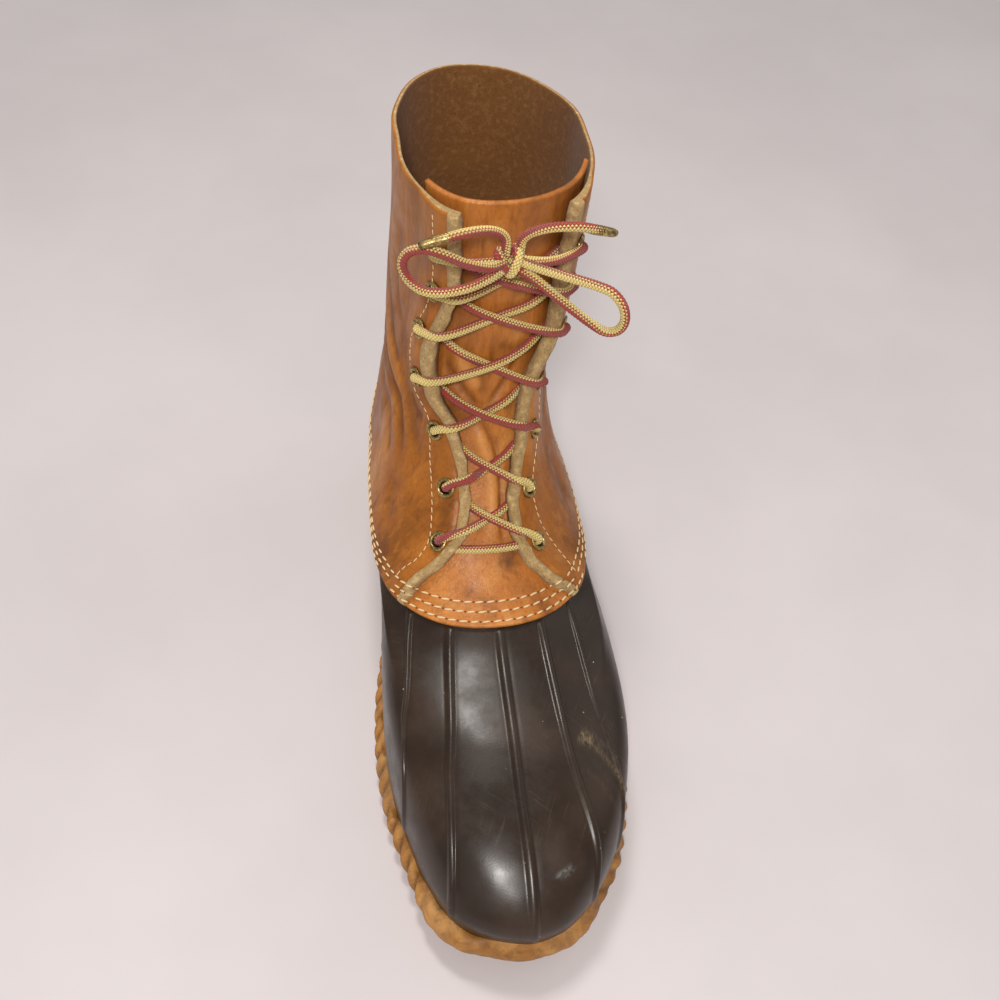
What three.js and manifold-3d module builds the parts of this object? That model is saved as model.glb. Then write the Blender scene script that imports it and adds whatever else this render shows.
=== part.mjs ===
// Left duck boot: a leather upper sewn to a rubber bottom on a tread sole, laced through seven pairs of
// eyelets. Millimetres, +Z up, toes toward -Y, the foot's outer side toward +X. The origin is the middle of
// the heel's rest on the floor.
import * as THREE from 'three';
import Module from 'manifold-3d';

const wasm = await Module();
wasm.setup();

// Driving sizes of the last.
const LENGTH = 304;
const BALL_WIDTH = 114;
const HEIGHT = 230;
const HEEL_BACK = 42;
const TOE_TIP = HEEL_BACK - LENGTH;

// Walls, steps and clearances.
const LEATHER = 2.2;
const RUBBER = 2.2;
const GAP = 0.3;
const SEAT_GAP = 0.6;
const LAP_STEP = LEATHER + GAP;
const SETTLED_STEP = 1.0;
const RIB_HEIGHT = 0.8;
const RIB_WIDTH = 4.6;
const RIB_SHOULDER = 0.9;

// Sole.
const TOE_SPRING = 9;
const SPRING_SHARE = 0.3;
const ARCH_RISE = 4.5;
const ARCH_FRONT = -104;
const ARCH_BACK = -25;
const FOREFOOT_THICKNESS = 11;
const HEEL_LIFT = 13;
const LIFT_FRONT = -150;
const LIFT_BACK = -10;
const FEATHER_INSET = 4.5;
const WALL_INSET = 3.5;
const WALL_HEIGHT = 14;
const ROPE_LOBE = 0.9;
const ROPE_FOOT = 8;
const ROPE_COLUMNS = 136;
const TREAD_DEPTH = 2.2;
const TREAD_WIDTH = 4;
const TREAD_PITCH = 17;
const TREAD_WAVE = 8;

// Leather edge, throat and lacing, as places on the last's surface (see skinPoint).
const LEATHER_EDGE = 4;
const RUBBER_TOP = 4.4;
const PLUG_TOP = 4.85;
const COLLAR = 8;
const FACING_REACH = 24;
const FACING_RAISE_ON_PLUG = 4.2;
const TONGUE_TUCK = 4.62;
const TONGUE_TOP = 8.06;
const TONGUE_WIDE_UP = 6.2;
const TONGUE_HALF_LOW = 0.058;
const TONGUE_HALF_TOP = 0.17;

const EYELET_HOLE = 2.6;
const EYELET_BARREL = 3.2;
const EYELET_FLANGE = 4.5;
const EYELET_LIP = 0.8;
const EYELET_FROM_EDGE = 9.4;
const EYELET_SKEW = 0.03;
const EYELET_SIDES = 8;

const LACE = 3.6;
const LACE_CLEARANCE = 1.25;
const LACE_SIDES = 7;

// The bow: the knot sits over the tongue above the top eyelets.
const KNOT_UP = 7.72;
const KNOT_ROUND = 0.012;
const KNOT_OUT = 11;
const KNOT_SIZE = [7, 5.2, 5];
// Middle lines of the bow's loops and free ends, as steps from the knot's centre.
const LOOP_OUTER = [
  [2.3, -2.2, 1.3], [6.5, -6.2, 1.9], [16.3, -15.5, 4.5], [26.9, -25.6, 7.5], [31.3, -29.7, 7.7],
  [34.9, -33.1, 4.3], [36.2, -34.4, -1.5], [34.9, -33.1, -7.2], [31.3, -29.8, -10.7], [27, -25.6, -10.5],
  [16.3, -15.5, -6.9], [7.2, -6.9, -3.2], [2.6, -2.5, -2.3],
];
const LOOP_INNER = [
  [-3.2, -2.5, 1.3], [-9, -6.5, 1.9], [-18.8, -10.8, 7.2], [-28.7, -10.4, 12.4], [-34.8, -8, 12.6],
  [-39.8, -5.3, 9.1], [-41.8, -4.2, 3.2], [-39.9, -5.3, -2.6], [-34.9, -8, -6.2], [-28.8, -10.3, -6],
  [-18.8, -10.8, -4.1], [-10, -7.1, -3.2], [-3.6, -2.8, -2.3],
];
const END_OUTER = [[2.6, 0.4, 2], [3.4, 0, 10], [10, -5, 18], [21, -8, 20.6], [32, -5, 16]];
const END_INNER = [[-2.6, 0.4, 2], [-3.4, 0, 10], [-10, -5, 17.5], [-20, -9, 20], [-31, -9.5, 17]];

// Outline of the sole from the toe tip to the heel: share of the length, half widths as shares of the ball
// width.
const OUTLINE = [
  { along: 0.000, medial: 0.000, lateral: 0.000 },
  { along: 0.010, medial: 0.119, lateral: 0.128 },
  { along: 0.030, medial: 0.220, lateral: 0.213 },
  { along: 0.056, medial: 0.290, lateral: 0.283 },
  { along: 0.100, medial: 0.347, lateral: 0.367 },
  { along: 0.150, medial: 0.388, lateral: 0.430 },
  { along: 0.243, medial: 0.441, lateral: 0.500 },
  { along: 0.330, medial: 0.454, lateral: 0.530 },
  { along: 0.420, medial: 0.436, lateral: 0.526 },
  { along: 0.520, medial: 0.388, lateral: 0.490 },
  { along: 0.620, medial: 0.352, lateral: 0.440 },
  { along: 0.735, medial: 0.345, lateral: 0.394 },
  { along: 0.850, medial: 0.362, lateral: 0.375 },
  { along: 0.935, medial: 0.305, lateral: 0.312 },
  { along: 0.985, medial: 0.165, lateral: 0.165 },
  { along: 1.000, medial: 0.000, lateral: 0.000 },
];

// Sections of the last above the sole. Front, back and widest place are shares of the length behind the
// toe tip, heights shares of the whole height, half widths shares of the ball width. Square 2 is an ellipse,
// more is boxier.
const SECTIONS = [
  // toe shoulder
  { front: 0.072, back: 0.980, widest: 0.375, frontZ: 0.209, backZ: 0.191, sideZ: 0.200,
    lateral: 0.487, medial: 0.417, frontSquare: 2.3, backSquare: 2.8, waist: 0.12 },
  // vamp
  { front: 0.227, back: 0.982, widest: 0.441, frontZ: 0.270, backZ: 0.252, sideZ: 0.248,
    lateral: 0.443, medial: 0.399, frontSquare: 2.2, backSquare: 2.8, waist: 0.05 },
  // lower edge of the leather
  { front: 0.405, back: 0.984, widest: 0.582, frontZ: 0.304, backZ: 0.304, sideZ: 0.274,
    lateral: 0.420, medial: 0.395, frontSquare: 2.2, backSquare: 2.8, waist: 0.03 },
  // instep
  { front: 0.530, back: 0.979, widest: 0.697, frontZ: 0.422, backZ: 0.400, sideZ: 0.374,
    lateral: 0.351, medial: 0.356, frontSquare: 2.2, backSquare: 2.5, waist: 0.00 },
  // ankle
  { front: 0.625, back: 0.970, widest: 0.789, frontZ: 0.591, backZ: 0.539, sideZ: 0.548,
    lateral: 0.300, medial: 0.311, frontSquare: 2.2, backSquare: 2.3, waist: 0.00 },
  // shaft
  { front: 0.658, back: 0.980, widest: 0.816, frontZ: 0.795, backZ: 0.774, sideZ: 0.783,
    lateral: 0.385, medial: 0.289, frontSquare: 2.2, backSquare: 2.2, waist: 0.00 },
  // collar
  { front: 0.651, back: 0.997, widest: 0.816, frontZ: 1.000, backZ: 0.991, sideZ: 0.991,
    lateral: 0.392, medial: 0.289, frontSquare: 2.2, backSquare: 2.2, waist: 0.00 },
];

// Cut edges of the quarters from the rubber line to the collar: how far round each lies from the toe line,
// and how far the facing stands off there in millimetres.
const THROAT = [
  { up: 4.00, medial: 0.138, lateral: 0.132, flare: 0.0 },
  { up: 4.30, medial: 0.106, lateral: 0.080, flare: 0.0 },
  { up: 4.60, medial: 0.058, lateral: 0.045, flare: 0.0 },
  { up: 4.82, medial: 0.030, lateral: 0.033, flare: 0.3 },
  { up: 5.15, medial: 0.021, lateral: 0.031, flare: 1.0 },
  { up: 5.46, medial: 0.024, lateral: 0.045, flare: 1.2 },
  { up: 5.70, medial: 0.034, lateral: 0.057, flare: 1.8 },
  { up: 5.93, medial: 0.046, lateral: 0.055, flare: 2.4 },
  { up: 6.10, medial: 0.069, lateral: 0.060, flare: 3.0 },
  { up: 6.35, medial: 0.078, lateral: 0.072, flare: 4.0 },
  { up: 6.58, medial: 0.080, lateral: 0.095, flare: 4.0 },
  { up: 6.85, medial: 0.062, lateral: 0.092, flare: 3.6 },
  { up: 7.20, medial: 0.044, lateral: 0.090, flare: 3.0 },
  { up: 8.00, medial: 0.056, lateral: 0.100, flare: 3.0 },
];

// Heights of the seven pairs of eyelets on the last's surface, lowest first.
const EYELET_ROWS = [4.75, 5.25, 5.75, 6.21, 6.68, 7.10, 7.51];

// Centre lines of the ribs: how far round each lies at the sole, over the toes, on the vamp and at the
// leather.
const RIB_ROWS = [0, 1, 2.7, RUBBER_TOP];
const RIBS = [
  [-0.183, -0.183, -0.177, -0.118],
  [-0.099, -0.098, -0.089, -0.053],
  [0.006, 0.004, 0.002, 0.007],
  [0.098, 0.096, 0.071, 0.064],
  [0.160, 0.152, 0.138, 0.122],
];

const COLOURS = {
  leather: 0xbe732d,
  plug: 0xb46a38,
  rubber: 0x372d28,
  sole: 0xaa6e32,
  brass: 0x78693c,
  lace: 0xc9a052,
  lining: 0x9a7a50,
};

const lerp = THREE.MathUtils.lerp;
const clamp = THREE.MathUtils.clamp;

/** Smooth 0 to 1 step between two places. */
function smooth(low, high, x) {
  const u = clamp((x - low) / (high - low), 0, 1);
  return u * u * (3 - 2 * u);
}

/** Straight-line look-up of y over a rising list of x. */
function between(xs, ys, x) {
  if (x <= xs[0]) return ys[0];
  for (let i = 1; i < xs.length; i++) {
    if (x <= xs[i]) return lerp(ys[i - 1], ys[i], (x - xs[i - 1]) / (xs[i] - xs[i - 1]));
  }
  return ys[ys.length - 1];
}

const behindTip = (share) => TOE_TIP + share * LENGTH;

// The sole's outline as one closed loop of points: toe tip, lateral side, heel, medial side.
const OUTLINE_LOOP = [
  ...OUTLINE.map((row) => [row.lateral * BALL_WIDTH, behindTip(row.along)]),
  ...OUTLINE.slice(1, -1).reverse().map((row) => [-row.medial * BALL_WIDTH, behindTip(row.along)]),
];

/** Point of the outline at round (0 toe tip, 0.25 lateral, 0.5 heel), moved in by inset. */
function outlinePoint(round, inset) {
  const step = 1e-4;
  const [x, y] = loopPoint(round);
  const [ax, ay] = loopPoint(round - step);
  const [bx, by] = loopPoint(round + step);
  const length = Math.hypot(bx - ax, by - ay);
  return [x - inset * (by - ay) / length, y + inset * (bx - ax) / length];
}

/** Catmull-Rom point of the outline loop. */
function loopPoint(round) {
  const count = OUTLINE_LOOP.length;
  const place = (round - Math.floor(round)) * count;
  const i = Math.floor(place) % count;
  const f = place - Math.floor(place);
  const p = [-1, 0, 1, 2].map((k) => OUTLINE_LOOP[(i + k + count) % count]);
  return [0, 1].map((k) => 0.5 * (2 * p[1][k] + (p[2][k] - p[0][k]) * f
    + (2 * p[0][k] - 5 * p[1][k] + 4 * p[2][k] - p[3][k]) * f * f
    + (3 * p[1][k] - p[0][k] - 3 * p[2][k] + p[3][k]) * f * f * f));
}

/** Height of the tread: toe spring in front, flat under the ball, raised arch, flat heel. */
function treadZ(y) {
  const share = (y - TOE_TIP) / LENGTH;
  const spring = TOE_SPRING * clamp(1 - share / SPRING_SHARE, 0, 1) ** 2;
  const arch = clamp((y - ARCH_FRONT) / (ARCH_BACK - ARCH_FRONT), 0, 1);
  return spring + ARCH_RISE * Math.sin(Math.PI * arch) ** 2;
}

/** Height where the rubber wall meets the sole. */
function featherZ(y) {
  const share = (y - TOE_TIP) / LENGTH;
  const spring = TOE_SPRING * clamp(1 - share / SPRING_SHARE, 0, 1) ** 2;
  return spring + FOREFOOT_THICKNESS + HEEL_LIFT * smooth(LIFT_FRONT, LIFT_BACK, y);
}

/** Point of one section of the last. */
function sectionPoint(section, round) {
  const angle = 2 * Math.PI * round;
  const c = Math.cos(angle);
  const s = Math.sin(angle);
  const power = 2 / (c > 0 ? section.frontSquare : section.backSquare);
  const ca = Math.abs(c) ** power;
  const sa = Math.abs(s) ** power;
  const sideShare = s > 0 ? 0.7 : 1;
  const pinch = c > 0 ? 0 : section.waist * sideShare * Math.sin(Math.PI * clamp(ca / 0.95, 0, 1)) ** 2;
  const half = (s > 0 ? section.lateral : section.medial) * BALL_WIDTH;
  const reach = (c > 0 ? section.front : section.back) - section.widest;
  const rise = (c > 0 ? section.frontZ : section.backZ) - section.sideZ;
  return new THREE.Vector3(
    Math.sign(s) * half * sa * (1 - pinch),
    behindTip(section.widest) + reach * LENGTH * ca,
    (section.sideZ + rise * c * c) * HEIGHT,
  );
}

/** The last's surface points at one place round it, from the sole's feather edge to the collar. */
function columnPoints(round) {
  const [fx, fy] = outlinePoint(round, FEATHER_INSET);
  const [wx, wy] = outlinePoint(round, WALL_INSET);
  const z = featherZ(fy);
  const points = [new THREE.Vector3(fx, fy, z), new THREE.Vector3(wx, wy, z + WALL_HEIGHT)];
  for (const section of SECTIONS) points.push(sectionPoint(section, round));
  return points;
}

/** Point of the last's surface: round as in outlinePoint, up counts the sections from the sole (0) upward. */
function lastPoint(round, up) {
  const rows = columnPoints(round);
  const last = rows.length - 1;
  const p = [
    rows[0].clone().multiplyScalar(2).sub(rows[1]), ...rows,
    rows[last].clone().multiplyScalar(2).sub(rows[last - 1]),
  ];
  const i = clamp(Math.floor(up), 0, last - 1);
  const knot = [0];
  for (let k = 0; k < 3; k++) knot.push(knot[k] + Math.sqrt(p[i + k].distanceTo(p[i + k + 1])));
  const x = lerp(knot[1], knot[2], up - i);
  const mix = (a, b, ka, kb) => a.clone().lerp(b, (x - ka) / (kb - ka));
  const a1 = mix(p[i], p[i + 1], knot[0], knot[1]);
  const a2 = mix(p[i + 1], p[i + 2], knot[1], knot[2]);
  const a3 = mix(p[i + 2], p[i + 3], knot[2], knot[3]);
  const b1 = mix(a1, a2, knot[0], knot[2]);
  const b2 = mix(a2, a3, knot[1], knot[3]);
  return mix(b1, b2, knot[1], knot[2]);
}

/** Outward normal of the last's surface. */
function lastNormal(round, up) {
  const e = 2e-3;
  const across = lastPoint(round + e, up).sub(lastPoint(round - e, up));
  const rise = lastPoint(round, up + e).sub(lastPoint(round, up - e));
  return across.cross(rise).normalize();
}

/** Point that stands off the last's surface by out. */
function skinPoint(round, up, out) {
  return lastPoint(round, up).addScaledVector(lastNormal(round, up), out);
}

/** The place round the last that lies distance millimetres on from round, at one height. */
function stepRound(round, up, distance) {
  const steps = 6;
  let place = round;
  for (let k = 0; k < steps; k++) {
    const speed = lastPoint(place + 1e-3, up).distanceTo(lastPoint(place - 1e-3, up)) / 2e-3;
    place += distance / steps / speed;
  }
  return place;
}

/** How far the leather's outer face stands off the last: a clear step at its lower edge, less above. */
const leatherOut = (up) => lerp(LAP_STEP, SETTLED_STEP, smooth(LEATHER_EDGE, LEATHER_EDGE + 1.2, up));

const throatUps = THROAT.map((row) => row.up);
const throatMedial = (up) => -between(throatUps, THROAT.map((row) => row.medial), up);
const throatLateral = (up) => between(throatUps, THROAT.map((row) => row.lateral), up);
const throatFlare = (up) => between(throatUps, THROAT.map((row) => row.flare), up);
const facingRaise = (up) =>
  lerp(FACING_RAISE_ON_PLUG, LEATHER, smooth(PLUG_TOP - 0.1, PLUG_TOP + 0.35, up));

/** A body's triangles, gathered face by face and joined where their corners meet. */
class Body {
  constructor() {
    this.keys = new Map();
    this.vertices = [];
    this.triangles = [];
  }

  corner(point) {
    const key = `${point.x.toFixed(4)} ${point.y.toFixed(4)} ${point.z.toFixed(4)}`;
    if (!this.keys.has(key)) {
      this.keys.set(key, this.vertices.length / 3);
      this.vertices.push(point.x, point.y, point.z);
    }
    return this.keys.get(key);
  }

  triangle(a, b, c) {
    const ids = [this.corner(a), this.corner(b), this.corner(c)];
    if (new Set(ids).size === 3) this.triangles.push(...ids);
  }

  quad(a, b, c, d) {
    this.triangle(a, b, c);
    this.triangle(a, c, d);
  }

  /** Strip between two lines of points; lineB lies to the left of lineA's direction, seen from outside. */
  strip(lineA, lineB, closed = false) {
    const count = closed ? lineA.length : lineA.length - 1;
    for (let i = 0; i < count; i++) {
      const n = (i + 1) % lineA.length;
      this.quad(lineA[i], lineA[n], lineB[n], lineB[i]);
    }
  }

  /** Sheet through rows of points, facing the side from which the rows turn anticlockwise. */
  sheet(rows, closed = false) {
    for (let j = 0; j + 1 < rows.length; j++) this.strip(rows[j], rows[j + 1], closed);
  }

  solid() {
    const mesh = new wasm.Mesh({
      numProp: 3,
      vertProperties: new Float32Array(this.vertices),
      triVerts: new Uint32Array(this.triangles),
    });
    mesh.merge();
    return new wasm.Manifold(mesh);
  }
}

/** Closed wall between an outer and an inner set of rows with the same columns. */
function wallBody(outer, inner, closed) {
  const body = new Body();
  body.sheet(outer, closed);
  body.sheet([...inner].reverse(), closed);
  body.strip(inner[0], outer[0], closed);
  body.strip(outer.at(-1), inner.at(-1), closed);
  if (!closed) {
    const end = outer[0].length - 1;
    const column = (rows, i) => rows.map((row) => row[i]);
    body.strip(column(outer, 0), column(inner, 0));
    body.strip(column(inner, end), column(outer, end));
  }
  return body;
}

/** Tube of constant radius through points, with flat ends. */
function tubeSolid(points, radius, segments) {
  const curve = new THREE.CatmullRomCurve3(points, false, 'centripetal');
  const frames = curve.computeFrenetFrames(segments, false);
  const body = new Body();
  const rings = [];
  for (let j = 0; j <= segments; j++) {
    const centre = curve.getPointAt(j / segments);
    rings.push(Array.from({ length: LACE_SIDES }, (_, i) => {
      const angle = 2 * Math.PI * i / LACE_SIDES;
      return centre.clone()
        .addScaledVector(frames.normals[j], radius * Math.cos(angle))
        .addScaledVector(frames.binormals[j], radius * Math.sin(angle));
    }));
  }
  body.sheet(rings, true);
  for (let i = 1; i + 1 < LACE_SIDES; i++) {
    body.triangle(rings[0][0], rings[0][i + 1], rings[0][i]);
    body.triangle(rings[segments][0], rings[segments][i], rings[segments][i + 1]);
  }
  return body.solid();
}

/** Solid of a closed profile of [radius, height] points turned about an axis through origin. */
function turnedSolid(profile, sides, origin, axis) {
  const turn = new THREE.Quaternion().setFromUnitVectors(new THREE.Vector3(0, 0, 1), axis);
  const rings = profile.map(([radius, height]) => Array.from({ length: sides }, (_, i) => {
    const angle = 2 * Math.PI * i / sides;
    return new THREE.Vector3(radius * Math.cos(angle), radius * Math.sin(angle), height)
      .applyQuaternion(turn).add(origin);
  }));
  const body = new Body();
  body.sheet([...rings, rings[0]], true);
  return body.solid();
}

/** three.js mesh of a solid. */
function meshOf(name, solid, colour, roughness, metalness = 0) {
  const { vertProperties, triVerts } = solid.getMesh();
  const geometry = new THREE.BufferGeometry();
  geometry.setAttribute('position', new THREE.BufferAttribute(new Float32Array(vertProperties), 3));
  geometry.setIndex(new THREE.BufferAttribute(new Uint32Array(triVerts), 1));
  geometry.computeVertexNormals();
  const material = new THREE.MeshStandardMaterial({ color: colour, roughness, metalness });
  const mesh = new THREE.Mesh(geometry, material);
  mesh.name = name;
  return mesh;
}

/** The quarters' points at one height: columns from the lateral cut edge round the heel to the medial one. */
function quarterRow(up, outOf) {
  const near = [0, 0.25, 0.5, 0.75, 1].map((share) => share * FACING_REACH);
  const edgeColumns = near.length;
  const middleColumns = 18;
  const lateral = throatLateral(up);
  const medial = 1 + throatMedial(up);
  const start = stepRound(lateral, up, FACING_REACH);
  const end = stepRound(medial, up, -FACING_REACH);
  const row = [];
  for (let k = 0; k < edgeColumns; k++) row.push([stepRound(lateral, up, near[k]), near[k]]);
  for (let k = 1; k < middleColumns; k++) row.push([lerp(start, end, k / middleColumns), FACING_REACH]);
  for (let k = edgeColumns - 1; k >= 0; k--) row.push([stepRound(medial, up, -near[k]), near[k]]);
  return row.map(([round, distance]) => skinPoint(round, up, outOf(1 - smooth(0, FACING_REACH, distance))));
}

/** The upper's leather. With clear more than nought it is the room that other pieces keep out of. */
function upperSolid(clear) {
  const plugUps = [LEATHER_EDGE - clear / 20, 4.2, 4.42, 4.64, PLUG_TOP];
  const freeUps = [5.08, 5.36, 5.7, 6.05, 6.4, 6.75, 7.15, 7.6, clear > 0 ? COLLAR + 0.2 : COLLAR];
  const outside = clear > 0 ? LEATHER : 0;
  const allUps = [...plugUps, ...freeUps];
  const outer = allUps.map((up) => quarterRow(up, (near) => leatherOut(up) + outside
    + (facingRaise(up) + throatFlare(up)) * near));
  const inner = allUps.map((up) => quarterRow(up, (near) => leatherOut(up) - LEATHER - clear
    + throatFlare(up) * near));
  const plugColumns = 8;
  const plugRow = (up, out) => Array.from({ length: plugColumns + 1 }, (_, i) =>
    skinPoint(lerp(throatMedial(up), throatLateral(up), i / plugColumns), up, out));
  const plugOuter = plugUps.map((up) => plugRow(up, leatherOut(up) + outside));
  const plugInner = plugUps.map((up, j) => {
    const row = plugRow(up, leatherOut(up) - LEATHER - clear);
    row[0] = inner[j].at(-1);
    row[plugColumns] = inner[j][0];
    return row;
  });
  const top = plugUps.length - 1;
  const last = allUps.length - 1;
  const body = new Body();
  body.sheet(outer);
  body.sheet([...inner].reverse());
  const end = outer[0].length - 1;
  body.strip(inner[0].slice(1, end), outer[0].slice(1, end));
  const corner = plugOuter[0][plugColumns];
  body.quad(inner[0][0], inner[0][1], outer[0][1], corner);
  body.triangle(outer[0][1], outer[0][0], corner);
  body.quad(inner[0][end - 1], inner[0][end], plugOuter[0][0], outer[0][end - 1]);
  body.triangle(plugOuter[0][0], outer[0][end], outer[0][end - 1]);
  body.strip(outer[last], inner[last]);
  body.sheet(plugOuter);
  body.sheet([...plugInner].reverse());
  body.strip(plugInner[0], plugOuter[0]);
  body.strip(plugOuter[top], plugInner[top]);
  for (const [side, quarterEnd, plugEnd] of [[1, 0, plugColumns], [-1, end, 0]]) {
    const face = (a, b, c) => (side > 0 ? body.triangle(a, b, c) : body.triangle(c, b, a));
    for (let j = 0; j < last; j++) {
      const high = outer[j][quarterEnd];
      const highNext = outer[j + 1][quarterEnd];
      const low = j < top ? plugOuter[j][plugEnd] : inner[j][quarterEnd];
      const lowNext = j < top ? plugOuter[j + 1][plugEnd] : inner[j + 1][quarterEnd];
      face(high, highNext, lowNext);
      if (j === top) {
        face(high, lowNext, plugOuter[top][plugEnd]);
        face(lowNext, low, plugOuter[top][plugEnd]);
      } else {
        face(high, lowNext, low);
      }
    }
  }
  return body.solid();
}

/** A place on the facing's outer face, some way back from the cut edge. */
function facingPlace(side, up, distance) {
  const edge = side > 0 ? throatLateral(up) : throatMedial(up);
  const round = stepRound(edge, up, side * distance);
  const near = 1 - smooth(0, FACING_REACH, distance);
  const out = leatherOut(up) + (facingRaise(up) + throatFlare(up)) * near;
  const wall = LEATHER + facingRaise(up) * near;
  return { round, up, out, wall, point: skinPoint(round, up, out) };
}

/** An eyelet's place on the facing, and the facing's outward direction there; worn facings sit askew. */
function eyeletPlace(side, row) {
  const up = EYELET_ROWS[row] - side * EYELET_SKEW;
  const place = facingPlace(side, up, EYELET_FROM_EDGE);
  const reach = EYELET_FLANGE;
  const across = facingPlace(side, up, EYELET_FROM_EDGE + reach).point
    .sub(facingPlace(side, up, EYELET_FROM_EDGE - reach).point);
  const rise = facingPlace(side, up + 0.1, EYELET_FROM_EDGE).point
    .sub(facingPlace(side, up - 0.1, EYELET_FROM_EDGE).point);
  return { ...place, axis: across.cross(rise).multiplyScalar(side).normalize() };
}

const SIDES = [{ name: 'outer', side: 1 }, { name: 'inner', side: -1 }];
const EYELETS = SIDES.flatMap(({ name, side }) => EYELET_ROWS.map((_, row) =>
  ({ name: `eyelet_${name}_${row + 1}`, ...eyeletPlace(side, row) })));

/** Rubber shell with raised ribs; the leather's room is cut from its top. */
function rubberSolid(room) {
  const ups = [0, 0.5, 1, 1.4, 1.8, 2.3, 2.85, 3.4, 3.9, RUBBER_TOP];
  const innerUps = [0, 1, 1.7, 2.4, 3.2, RUBBER_TOP];
  const top = RIB_WIDTH / 2;
  const foot = top + RIB_SHOULDER;
  const ribProfile = [-foot, -top, top, foot];
  const ribHeights = [0, RIB_HEIGHT, RIB_HEIGHT, 0];
  const backColumns = 22;
  const frontColumns = 1;
  const rowPlaces = (up) => {
    const centres = RIBS.map((rib) => between(RIB_ROWS, rib, up));
    const places = [];
    centres.forEach((centre, i) => {
      ribProfile.forEach((offset, k) => places.push([stepRound(centre, up, offset), ribHeights[k]]));
      if (i + 1 < centres.length) {
        const from = places.at(-1)[0];
        const to = stepRound(centres[i + 1], up, ribProfile[0]);
        for (let k = 1; k <= frontColumns; k++) places.push([lerp(from, to, k / (frontColumns + 1)), 0]);
      }
    });
    const from = places.at(-1)[0];
    const to = 1 + places[0][0];
    for (let k = 1; k < backColumns; k++) places.push([lerp(from, to, k / backColumns), 0]);
    return places;
  };
  const settle = (up) => (up < LEATHER_EDGE ? 0 : leatherOut(up) - LEATHER);
  const fade = (up) => smooth(0.1, 0.8, up) * (1 - smooth(3.85, LEATHER_EDGE, up));
  const outer = ups.map((up) => rowPlaces(up).map(([round, rib]) =>
    skinPoint(round, up, settle(up) + rib * fade(up))));
  const inner = innerUps.map((up) => rowPlaces(up).map(([round]) =>
    skinPoint(round, up, Math.min(0, settle(up)) - RUBBER)));
  return wallBody(outer, inner, true).solid().subtract(room);
}

/** Places round the outline with even steps, the same number on each side. */
function evenRounds(count) {
  const fine = 1200;
  const half = count / 2;
  const rounds = [];
  for (const from of [0, 0.5]) {
    const run = [0];
    for (let i = 1; i <= fine; i++) {
      const a = outlinePoint(from + 0.5 * (i - 1) / fine, 0);
      const b = outlinePoint(from + 0.5 * i / fine, 0);
      run.push(run[i - 1] + Math.hypot(b[0] - a[0], b[1] - a[1]));
    }
    const places = run.map((_, i) => from + 0.5 * i / fine);
    for (let k = 0; k < half; k++) rounds.push(between(run, places, run[fine] * k / half));
  }
  return rounds;
}

/** Cap across a loop whose lateral and medial sides have the same count of points. */
function capLoop(body, loop, upward) {
  const count = loop.length;
  for (let i = 0; i < count / 2; i++) {
    const a = loop[i];
    const b = loop[i + 1];
    const c = loop[(count - i - 1) % count];
    const d = loop[(count - i) % count];
    if (upward) body.quad(a, b, c, d);
    else body.quad(d, c, b, a);
  }
}

/** The sole: its rolled edge swells and narrows like twisted rope, and wavy grooves cross its tread. */
function outsoleSolid() {
  // Side of the sole from its floor edge up: inset from the outline, height, and how far the lobes move it.
  const rows = [
    { inset: 2.6, z: (y) => treadZ(y), lobe: 0 },
    { inset: 2.4, z: (y) => featherZ(y) - ROPE_FOOT, lobe: 0 },
    { inset: 1.2, z: (y) => featherZ(y) - ROPE_FOOT + ROPE_LOBE, lobe: -ROPE_LOBE },
    { inset: 0.0, z: (y) => featherZ(y) - 3.6, lobe: ROPE_LOBE },
    { inset: 1.3, z: (y) => featherZ(y) + 0.4, lobe: ROPE_LOBE },
    { inset: 3.0, z: (y) => featherZ(y) + 1.2, lobe: 0 },
    { inset: FEATHER_INSET - SEAT_GAP, z: (y) => featherZ(y) - SEAT_GAP, lobe: 0 },
  ];
  const rounds = evenRounds(ROPE_COLUMNS);
  const loops = rows.map(({ inset, z, lobe }) => rounds.map((round, i) => {
    const wave = (i % 2 === 0 ? 1 : -1) * (lobe > 0 ? 1 : -1);
    const [x, y] = outlinePoint(round, inset + Math.abs(lobe) * 0.5 * (1 - wave));
    return new THREE.Vector3(x, y, z(y));
  }));
  const body = new Body();
  body.sheet(loops, true);
  capLoop(body, loops[0], false);
  capLoop(body, loops.at(-1), true);
  return body.solid().subtract(treadGrooves());
}

/** Wavy grooves across the forefoot and the heel, open at the sole's edges. */
function treadGrooves() {
  const rests = [
    [behindTip(0.035), ARCH_FRONT + TREAD_PITCH / 2],
    [ARCH_BACK - 0.3 * TREAD_PITCH, HEEL_BACK - TREAD_PITCH],
  ];
  const halfWidth = BALL_WIDTH * 0.6;
  const bends = 4;
  const solids = [];
  for (const [from, to] of rests) {
    for (let y = from + TREAD_PITCH / 2; y <= to; y += TREAD_PITCH) {
      const line = (dy, z) => Array.from({ length: bends + 1 }, (_, i) => new THREE.Vector3(
        lerp(-halfWidth, halfWidth, i / bends), y + dy + (i % 2 ? TREAD_WAVE / 2 : -TREAD_WAVE / 2), z));
      const roof = treadZ(y) + TREAD_DEPTH;
      const low = [line(-TREAD_WIDTH / 2, -TREAD_DEPTH), line(TREAD_WIDTH / 2, -TREAD_DEPTH)];
      const high = [line(-TREAD_WIDTH / 2, roof), line(TREAD_WIDTH / 2, roof)];
      solids.push(wallBody(high, low, false).solid());
    }
  }
  return wasm.Manifold.union(solids);
}

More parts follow.
